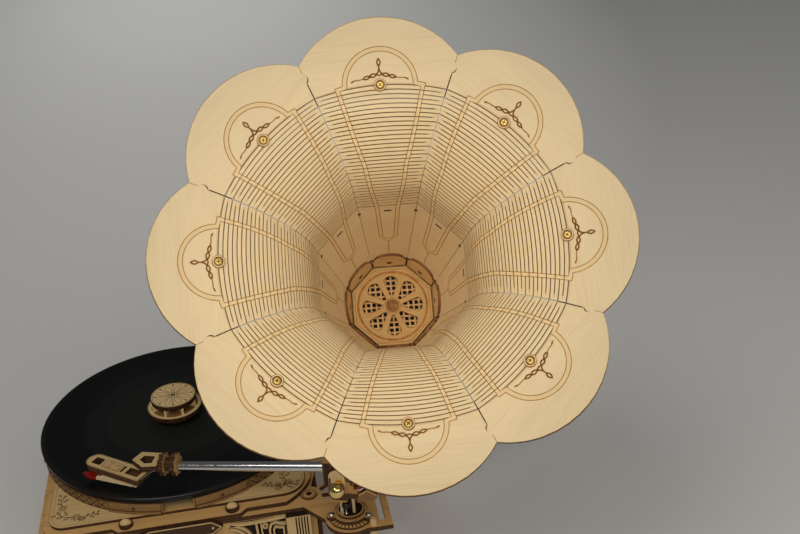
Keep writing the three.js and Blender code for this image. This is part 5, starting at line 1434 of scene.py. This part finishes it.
def deck_engraving():
    """The sprigs at the deck's corners and the pale border round its inlay."""
    surface = plane(INLAY_TOP)
    shape = Shape()
    for values in SPRAYS:
        spray(shape, surface, *values)
    side = INLAY_HALF_WIDTH - 1.6
    front = INLAY_FRONT + 1.6
    border = arc(side - 12.4, front + 12.4, 12.4, -90, 0, 6) + [(side, 45), (43, 84), (-43, 84), (-side, 45)]
    border += arc(-side + 7.4, front + 7.4, 7.4, 180, 270, 6)
    shape.add(ribbon(surface, border, 0.3, True, 3), kind=BAND)
    piece("deck_engraving", shape, [dark_line, dark_line, dark_line, pale_line], "base")


def deck():
    """The deck's plates, the sill in front of the inlay, and the burnt rings of the hub and the pegs."""
    for name in ("deck_frame", "deck_plate", "bottom_plate"):
        dress(name, tan, level_edge)
    dress("deck_inlay", birch, level_edge)
    deck_engraving()
    sill = Shape().add(patch(plane(INLAY_TOP), [(-10, -85.2), (10, -85.2), (9.4, -82), (-9.4, -82)], 0.1))
    piece("deck_sill", sill, [tan], "base")
    hub = Shape()
    hub.ring(DECK_TOP + 1, 3.75, 0.5, count=32, step=1)
    hub.ring(DECK_TOP, 4.85, 0.6, count=36, step=1)
    piece("hub_rings", hub, TAN_SHEET, "base", Matrix.Translation((*HUB_PLACE, 0)))
    peg_top = PLATE_TOP + PEG_BOSS_HEIGHT
    pegs = Shape()
    for x in (-PEG_PLACE[0], PEG_PLACE[0]):
        pegs.ring(peg_top, 3.55, 0.5, count=24, centre=(x, PEG_PLACE[1]), step=1)
    piece("peg_seams", pegs, SHEET, "base")
    for name in ("peg_left", "peg_right"):
        dress_by(name, [birch, burnt_edge], lambda normal, centre: int(centre.z < peg_top + 0.1))


# Tonearm

def arm_matrix():
    turn = Matrix.Rotation(math.radians(ARM_AZIMUTH), 4, "Z")
    seat = Matrix.Translation((*DIAL_CENTRE, RECORD_TOP)) @ turn
    return seat @ Matrix.Translation((AXLE_AHEAD, -ARM_ASIDE, 0))


def tube_matrix():
    tilt = math.asin(ARM_DIP / ARM_LENGTH)
    turn = Matrix.Rotation(math.pi / 2 + tilt, 4, "Y")
    return arm_matrix() @ Matrix.Translation((0, 0, PIVOT_RISE)) @ turn


def scallops(radius, lobes, depth):
    points = []
    for i in range(lobes * 8):
        angle = i * math.tau / (lobes * 8)
        reach = radius - depth * (1 - math.cos(lobes * angle)) / 2
        points.append((reach * math.cos(angle), reach * math.sin(angle)))
    return points


def tonearm():
    """The steel tube, the scalloped coupling and what the arm carries."""
    along = tube_matrix()
    end = ARM_LENGTH - 0.3
    tube = [(TUBE_RADIUS, 4.6), (TUBE_RADIUS, end), (TUBE_RADIUS - 0.6, end), (TUBE_RADIUS - 0.6, 4.6)]
    piece("tonearm_tube", Shape().add(turned(tube, 64)), [steel], "tonearm", along, ["arm_tube"])
    coupling = Shape()
    outline = scallops(COUPLING_RADIUS, 8, 1.3)
    for start in (ARM_LENGTH, ARM_LENGTH + 7.4):
        coupling.add(slab(outline, (), start, start + PLY))
    coupling.add(rod(4, ARM_LENGTH + 1, ARM_LENGTH + 9, 32), kind=EDGE)
    raised = Matrix.Translation((0, 0, COUPLING_RISE)) @ along
    piece("scalloped_coupling", coupling, TAN_SHEET, "tonearm", raised, ["arm_coupling"])
    dress("pivot_block", tan_up, side_edge)
    dress("counterweight", dark_tan_and_painted_shade, burnt_edge)
    dress("headshell_bracket", birch, level_edge)
    dress("headshell", birch, level_edge)
    yoke()
    arm_tail()
    brass_axle()
    headshell()
    cartridge()


def brass_axle():
    """The axle through the yoke, with a nut on each cheek and a ball on one end."""
    end = CHEEK_OUTER + AXLE_NUT
    axle = Shape().add(rod(AXLE_RADIUS, -end, CHEEK_OUTER + 3))
    axle.add(ball(BALL_RADIUS, end + BALL_RADIUS, 5, 48))
    for low, high in ((CHEEK_OUTER + 0.3, end), (-end, -CHEEK_OUTER - 0.3)):
        axle.add(slab(circle(0, 0, 3, 6), (), low, high))
    lie = arm_matrix() @ Matrix.Translation((0, 0, AXLE_RISE)) @ Matrix.Rotation(-math.pi / 2, 4, "X")
    piece("brass_axle", axle, [brass, brass], "tonearm", lie, ["arm_axle"])


def yoke():
    """Two round-topped cheeks on a dark bridge, on a thin stem that turns in the dial."""
    half = YOKE_HALF_LENGTH
    low = YOKE_BRIDGE_TOP
    top = AXLE_RISE + 4
    ahead = arc(half - 5, top, 5, 0, 90, 10)
    outline = [(-half, low), (half, low), *ahead, *arc(5 - half, top, 5, 90, 180, 10)]
    near = [(-3.4, low), (half, low), *ahead, (-3.4, AXLE_RISE + 9)]
    bore = circle(0, AXLE_RISE, 1.6, 20)
    shape = Shape()
    inner = CHEEK_OUTER - PLY + 0.2
    shape.add(slab(near, [bore], -CHEEK_OUTER, -inner), STAND)
    shape.add(slab(outline, [bore], inner, CHEEK_OUTER), STAND)
    steps = [(-3.3, low), (-3.3, 15), (-4.6, 15), (-4.6, 12.8), (-6.6, 12.8), (-6.6, 10.4), (-8.6, 10.4),
             (-8.6, 7.6), (-10.2, 7.6), (-10.2, low)]
    shape.add(slab(steps, (), -8.3, -6.7), STAND, BAND)
    shape.add(ribbon(far_upright(8.3), steps[1:-1], 0.5, lift=0.1), kind=EDGE)
    for strip in (rounded(-10.2, inner + 0.5, half + 0.5, CHEEK_OUTER, 0.3),
                  rounded(-half, -CHEEK_OUTER, half + 0.5, -inner, 0.3)):
        shape.add(slab(strip, (), low - 3.6, low), kind=LINE)
    for side in (-1, 1):
        start, end = sorted((side * (inner + 0.4), side * (CHEEK_OUTER - 0.4)))
        shape.add(slab(rounded(-3.4, start, 5, end, 0.3), (), -1.3, low - 3.5), kind=LINE)
    shape.add(slab(rounded(-3.6, -CHEEK_OUTER, 5.5, CHEEK_OUTER, 0.4), (), -2.4, -1.2), kind=BAND)
    shape.add(rod(1.9, -13.2, -2.3), Matrix.Translation((-AXLE_AHEAD, ARM_ASIDE - 3, 0)), LINE)
    corner = [(half - 0.7, 5), (half - 0.7, 15)]
    shape.add(ribbon(far_upright(CHEEK_OUTER), corner, 0.9), kind=EDGE)
    piece("yoke_cheeks", shape, [cheek_wood, burnt_edge, walnut, step_wood], "arm_base",
          arm_matrix(), ["arm_yoke"])


def arm_tail():
    """The yoke's side plate beside the counterweight, and the two thin leads of the pick-up above it."""
    outline = [(-10, -2), (-21.6, 1.4), (-22.2, 4.6), (-16.2, 7.9), (-10.8, 4.2)]
    shape = Shape().add(slab(outline, (), -8.5, -6.9), STAND)
    border = [(-11.2, 3.6), (-16.2, 7), (-21.6, 4)]
    shape.add(ribbon(far_upright(8.5), border, 0.7, lift=0.1), kind=BAND)
    piece("arm_tail", shape, [dark_tan_and_painted_shade, burnt_edge, walnut, tan], "arm_base", arm_matrix())
    for name, finish, rise in (("lead_red", cable_red, 0.9), ("lead_white", cable_white, 0)):
        path = [(x, y + rise * 0.4, z + rise) for x, y, z in LEAD_PATH]
        lead = Shape().add(tube_along(smooth_path(path), 0.4))
        piece(name, lead, [finish], "arm_base")


def headshell_matrix():
    reach = ARM_LENGTH + 11
    tilt = math.asin(ARM_DIP / ARM_LENGTH)
    x, y, z = HEADSHELL_START
    turn = Matrix.Rotation(math.radians(HEADSHELL_TURN), 4, "Z")
    return arm_matrix() @ Matrix.Translation((reach * math.cos(tilt) + x, y, z)) @ turn


def headshell():
    """The burnt field, outline and two marks on the headshell, left bare of any lettering."""
    shape = Shape()
    surface = plane(HEADSHELL_TOP)
    field = rounded(17.4, -3.4, 30.6, 3.4, 0.6)
    shape.add(patch(surface, field, LIFT * 0.5), kind=BAND)
    shape.add(ribbon(surface, field, 0.3, True), kind=LINE)
    outline = [(0.5, -5.5), (37, -5.5), *arc(37, 0, 5.5, -80, 80, 8), (37, 5.5), (0.5, 5.5)]
    shape.add(ribbon(surface, outline, 0.22, True, 3), kind=LINE)
    shape.add(patch(plane(1.2), rounded(31.8, -3.2, 38.8, 3.2, 0.8), 0.3), kind=EDGE)
    shape.add(patch(plane(0.8), rounded(2.6, -3.2, 12.6, 3.2, 0.6), 0.3), kind=LINE)
    piece("headshell_trim", shape, [birch, char_and_painted_shade, dark_line, scorch], "tonearm",
          headshell_matrix())


def cartridge():
    """The pale strip under the headshell with its stud, the red body and the stylus, and the finger wire."""
    turn = Matrix.Rotation(math.radians(CARTRIDGE_TURN), 4, "Z")
    lie = headshell_matrix() @ Matrix.Translation((*CARTRIDGE_START, 0)) @ turn
    shape = Shape()
    top = -CARTRIDGE_DROP
    shape.add(slab(rounded(0, -2.1, 29, 2.1, 0.5), (), top - 1.8, top), kind=FACE)
    shape.add(slab(rounded(0, -2.1, 5, 2.1, 0.5), (), top - 0.5, -0.3), kind=FACE)
    stud = turned([(0, top - 0.2), (1.1, top - 0.2), (1.1, top + 0.5), (0, top + 0.7)], 16)
    shape.add(stud, Matrix.Translation((26.4, 0, 0)), EDGE)
    body = [(28.2, -2.3), (33, -2.3), (38.4, -0.7), (38.4, 0.7), (33, 2.3), (28.2, 2.3)]
    shape.add(slab(body, (), top - 2.3, top), kind=LINE)
    stylus = turned([(0, -6.9), (0.9, -6), (0.9, top - 3), (0, top - 3)], 12)
    shape.add(stylus, Matrix.Translation((33.4, 0, 0)), LINE)
    piece("cartridge_strip", shape, [cream, steel, red], "tonearm", lie, ["cartridge"])
    wire = Shape().add(tube_along(smooth_path(FINGER_WIRE_PATH), 0.45))
    piece("finger_wire", wire, [steel], "tonearm")


# Arm's base

def dome(radius, rise):
    steps = [math.radians(15 * i) for i in range(7)]
    return turned([(0, 0), *[(radius * math.cos(a), rise * math.sin(a)) for a in steps[:-1]], (0, rise)], 24)


def dial():
    dress("dial_scale", tan, level_edge)
    dress("dial_collar", tan, level_edge)
    dress("dial_pendant", walnut)
    centre = Matrix.Translation((*DIAL_CENTRE, 0))
    scale = plane(SCALE_TOP)
    marks = Shape()
    for number in range(17):
        angle = math.radians(SCALE_TURN - 90 + (number - 8) * 11)
        path = [(radius * math.cos(angle), radius * math.sin(angle)) for radius in (10.8, 13)]
        marks.add(ribbon(scale, path, 0.8), kind=LINE)
    for height, radius, width in ((COLLAR_TOP, 9.9, 0.35), (RIM_TOP, 8, 0.4), (RIM_TOP, 8.7, 0.3)):
        marks.ring(height, radius, width, count=56)
    piece("dial_marks", marks, SHEET, "base", centre)
    ears = Shape()
    for side in (-1, 1):
        angle = math.radians(SCALE_TURN - 90 + side * 70)
        seat = Matrix.Translation((11.8 * math.cos(angle), 11.8 * math.sin(angle), COLLAR_TOP))
        ears.add(dome(1.7, 1.2), seat)
        ears.add(ribbon(plane(0.02), circle(0, 0, 2.2, 24), 0.3, True, 1), seat, EDGE)
    piece("dial_screws", ears, [steel, char_and_painted_shade], "base", centre)
    pivot(centre)


def pivot(centre):
    """What stands in the dial's well: a floor, a fork, a pin with a black ball, and the post outside."""
    floor = Shape().add(slab(circle(0, 0, 6.8, 40), (), 77.5, 77.75))
    piece("dial_well", floor, [char_and_painted_shade, char_and_painted_shade], "arm_base", centre)
    fork = Shape()
    for offset in (-5.2, 1.9):
        fork.add(slab(rounded(offset - 0.9, -2.6, offset + 0.9, -1, 0.3), (), 77.7, 88.6), kind=FACE)
    piece("pivot_fork", fork, [cream, burnt_edge], "arm_base", centre)
    beside = Matrix.Translation(PIN_PLACE)
    pin = turned([(0, 77.6), (1.1, 77.6), (1.1, 80), (0.7, 80.4), (0.7, 84), (0, 84)], 20)
    piece("pivot_pin", Shape().add(pin, beside), [steel], "arm_base", centre)
    knob_ball = ball(PIVOT_BALL_RADIUS, PIVOT_BALL_HEIGHT, 10, 32)
    piece("pivot_ball", Shape().add(knob_ball, beside), [gloss_black], "arm_base", centre)
    post = turned([(0, 60), (2.2, 60), (2.2, 77), (1.6, 78.2), (0, 78.6)], 24)
    piece("dial_post", Shape().add(post, Matrix.Translation((*POST_PLACE, 0))), [birch], "base")


def plaque():
    """A dark field with a pale border and a pointed end on each side, left bare."""
    def outline(inset):
        half = PLAQUE_HALF_WIDTH - inset * 1.6
        tall = PLAQUE_HALF_HEIGHT - inset
        left, right = -half + PLAQUE_POINT, half - PLAQUE_POINT
        low, high = PLAQUE_MIDDLE - tall, PLAQUE_MIDDLE + tall
        return [(-half, PLAQUE_MIDDLE), (left, low), (right, low),
                (half, PLAQUE_MIDDLE), (right, high), (left, high)]

    shape = Shape().add(slab(outline(0), (), BOX_HALF_DEPTH, BOX_HALF_DEPTH + PLY), STAND)
    surface = upright(-BOX_HALF_DEPTH - PLY)
    shape.add(ribbon(surface, outline(0.75), 0.6, True, 60, 0.2), kind=LINE)
    for side in (-1, 1):
        diamond = [(side * 19 + x, PLAQUE_MIDDLE + z) for x, z in ((-0.9, 0), (0, -1.3), (0.9, 0), (0, 1.3))]
        shape.add(patch(surface, diamond, kind=BAND))
    piece("plaque_plate", shape, [plaque_wood, burnt_edge, birch, tan], "base",
          replaces=["front_plaque"])


def pilasters():
    """A plain band and five narrow flutes, on a dark ground."""
    front = BOX_HALF_DEPTH
    for name, side in (("pilaster_left", -1), ("pilaster_right", 1)):
        left, right = sorted(side * x for x in PILASTER_SPAN)
        flutes = []
        for number in range(5):
            x = side * (FLUTE_START + number * FLUTE_PITCH)
            flutes.append(rounded(x - 0.42, 14, x + 0.42, 70.4, 0.4))
        shape = Shape()
        shape.add(slab(rectangle(left, 3, right, 71), flutes, front + 2.6, front + 4), STAND)
        shape.add(slab(rectangle(left, 3, right, 71), (), front, front + 2.6), STAND, LINE)
        shape.add(slab(rectangle(left - 0.4, 3, right + 0.4, 11), (), front + 4, front + 5.5), STAND)
        piece(f"{name}_flutes", shape, [birch_up, burnt_edge, char_and_painted_shade], "base", replaces=[name])


def scrollwork():
    """Generic fretwork on the front wall between the plaque and the pilasters."""
    ground = Shape()
    pale = Shape()
    surface = upright(-BOX_HALF_DEPTH)
    front = upright(-BOX_HALF_DEPTH - 1)
    for side in (-1, 1):
        field = [(side * x, z) for x, z in ((28, 54), (62, 54), (62, 70.6), (28, 70.6))]
        ground.add(patch(surface, field, 0.2))

        def strip(path, width):
            flat = [(side * x, z) for x, z in path]
            pale.add(ribbon(front, flat, width, lift=1))

        strip([(27, 70), (40, 69.2), (52, 69.6), (62, 70.4)], 1.5)
        for radius in (10.5, 13.2, 16):
            strip(arc(26, 54, radius, 0, 80, 14), 1.3)
        strip([(45, 54), (44.4, 68)], 1.3)
        strip([(47.6, 54), (47.2, 68)], 0.9)
        strip(arc(49.6, 65.6, 1.5, 0, 330, 12), 0.8)
        strip([(52, 54), (52, 63), (53.4, 66.4), (56, 67.4), (58.6, 65.8), (62, 65.2)], 1.2)
        strip([(54.4, 54), (54.4, 62), (55.6, 64), (58, 62.8), (60.4, 62.6), (60.4, 54)], 0.9)
    piece("fretwork_ground", ground, [char_and_painted_shade], "base")
    piece("fretwork", pale, [birch_up], "base")


def box():
    """The front's ornament, and the finishes of the walls and the drive."""
    plaque()
    pilasters()
    scrollwork()
    for values in (("front_wall", tan_up, level_edge, 1), ("back_wall", tan_up, level_edge, 1),
                   ("left_wall", tan_up, level_edge, 0), ("right_wall", tan_up, level_edge, 0),
                   ("front_screen", birch_up, burnt_edge, 1), ("spindle_bearing", tan, level_edge),
                   ("amplifier_board", board_green), ("battery_box", black), ("crank_bush", tan),
                   ("crank_shaft", steel), ("crank_pinion", birch, burnt_edge, 0),
                   ("crank_arm", tan, burnt_edge, 0), ("crank_grip", walnut), ("governor_rotor", brass)):
        dress(*values)


random.seed(7)
camera()
stage()
petals()
throat()
record()
clamp_foot()
clamp_rosette()
rings()
deck()
tonearm()
dial()
box()
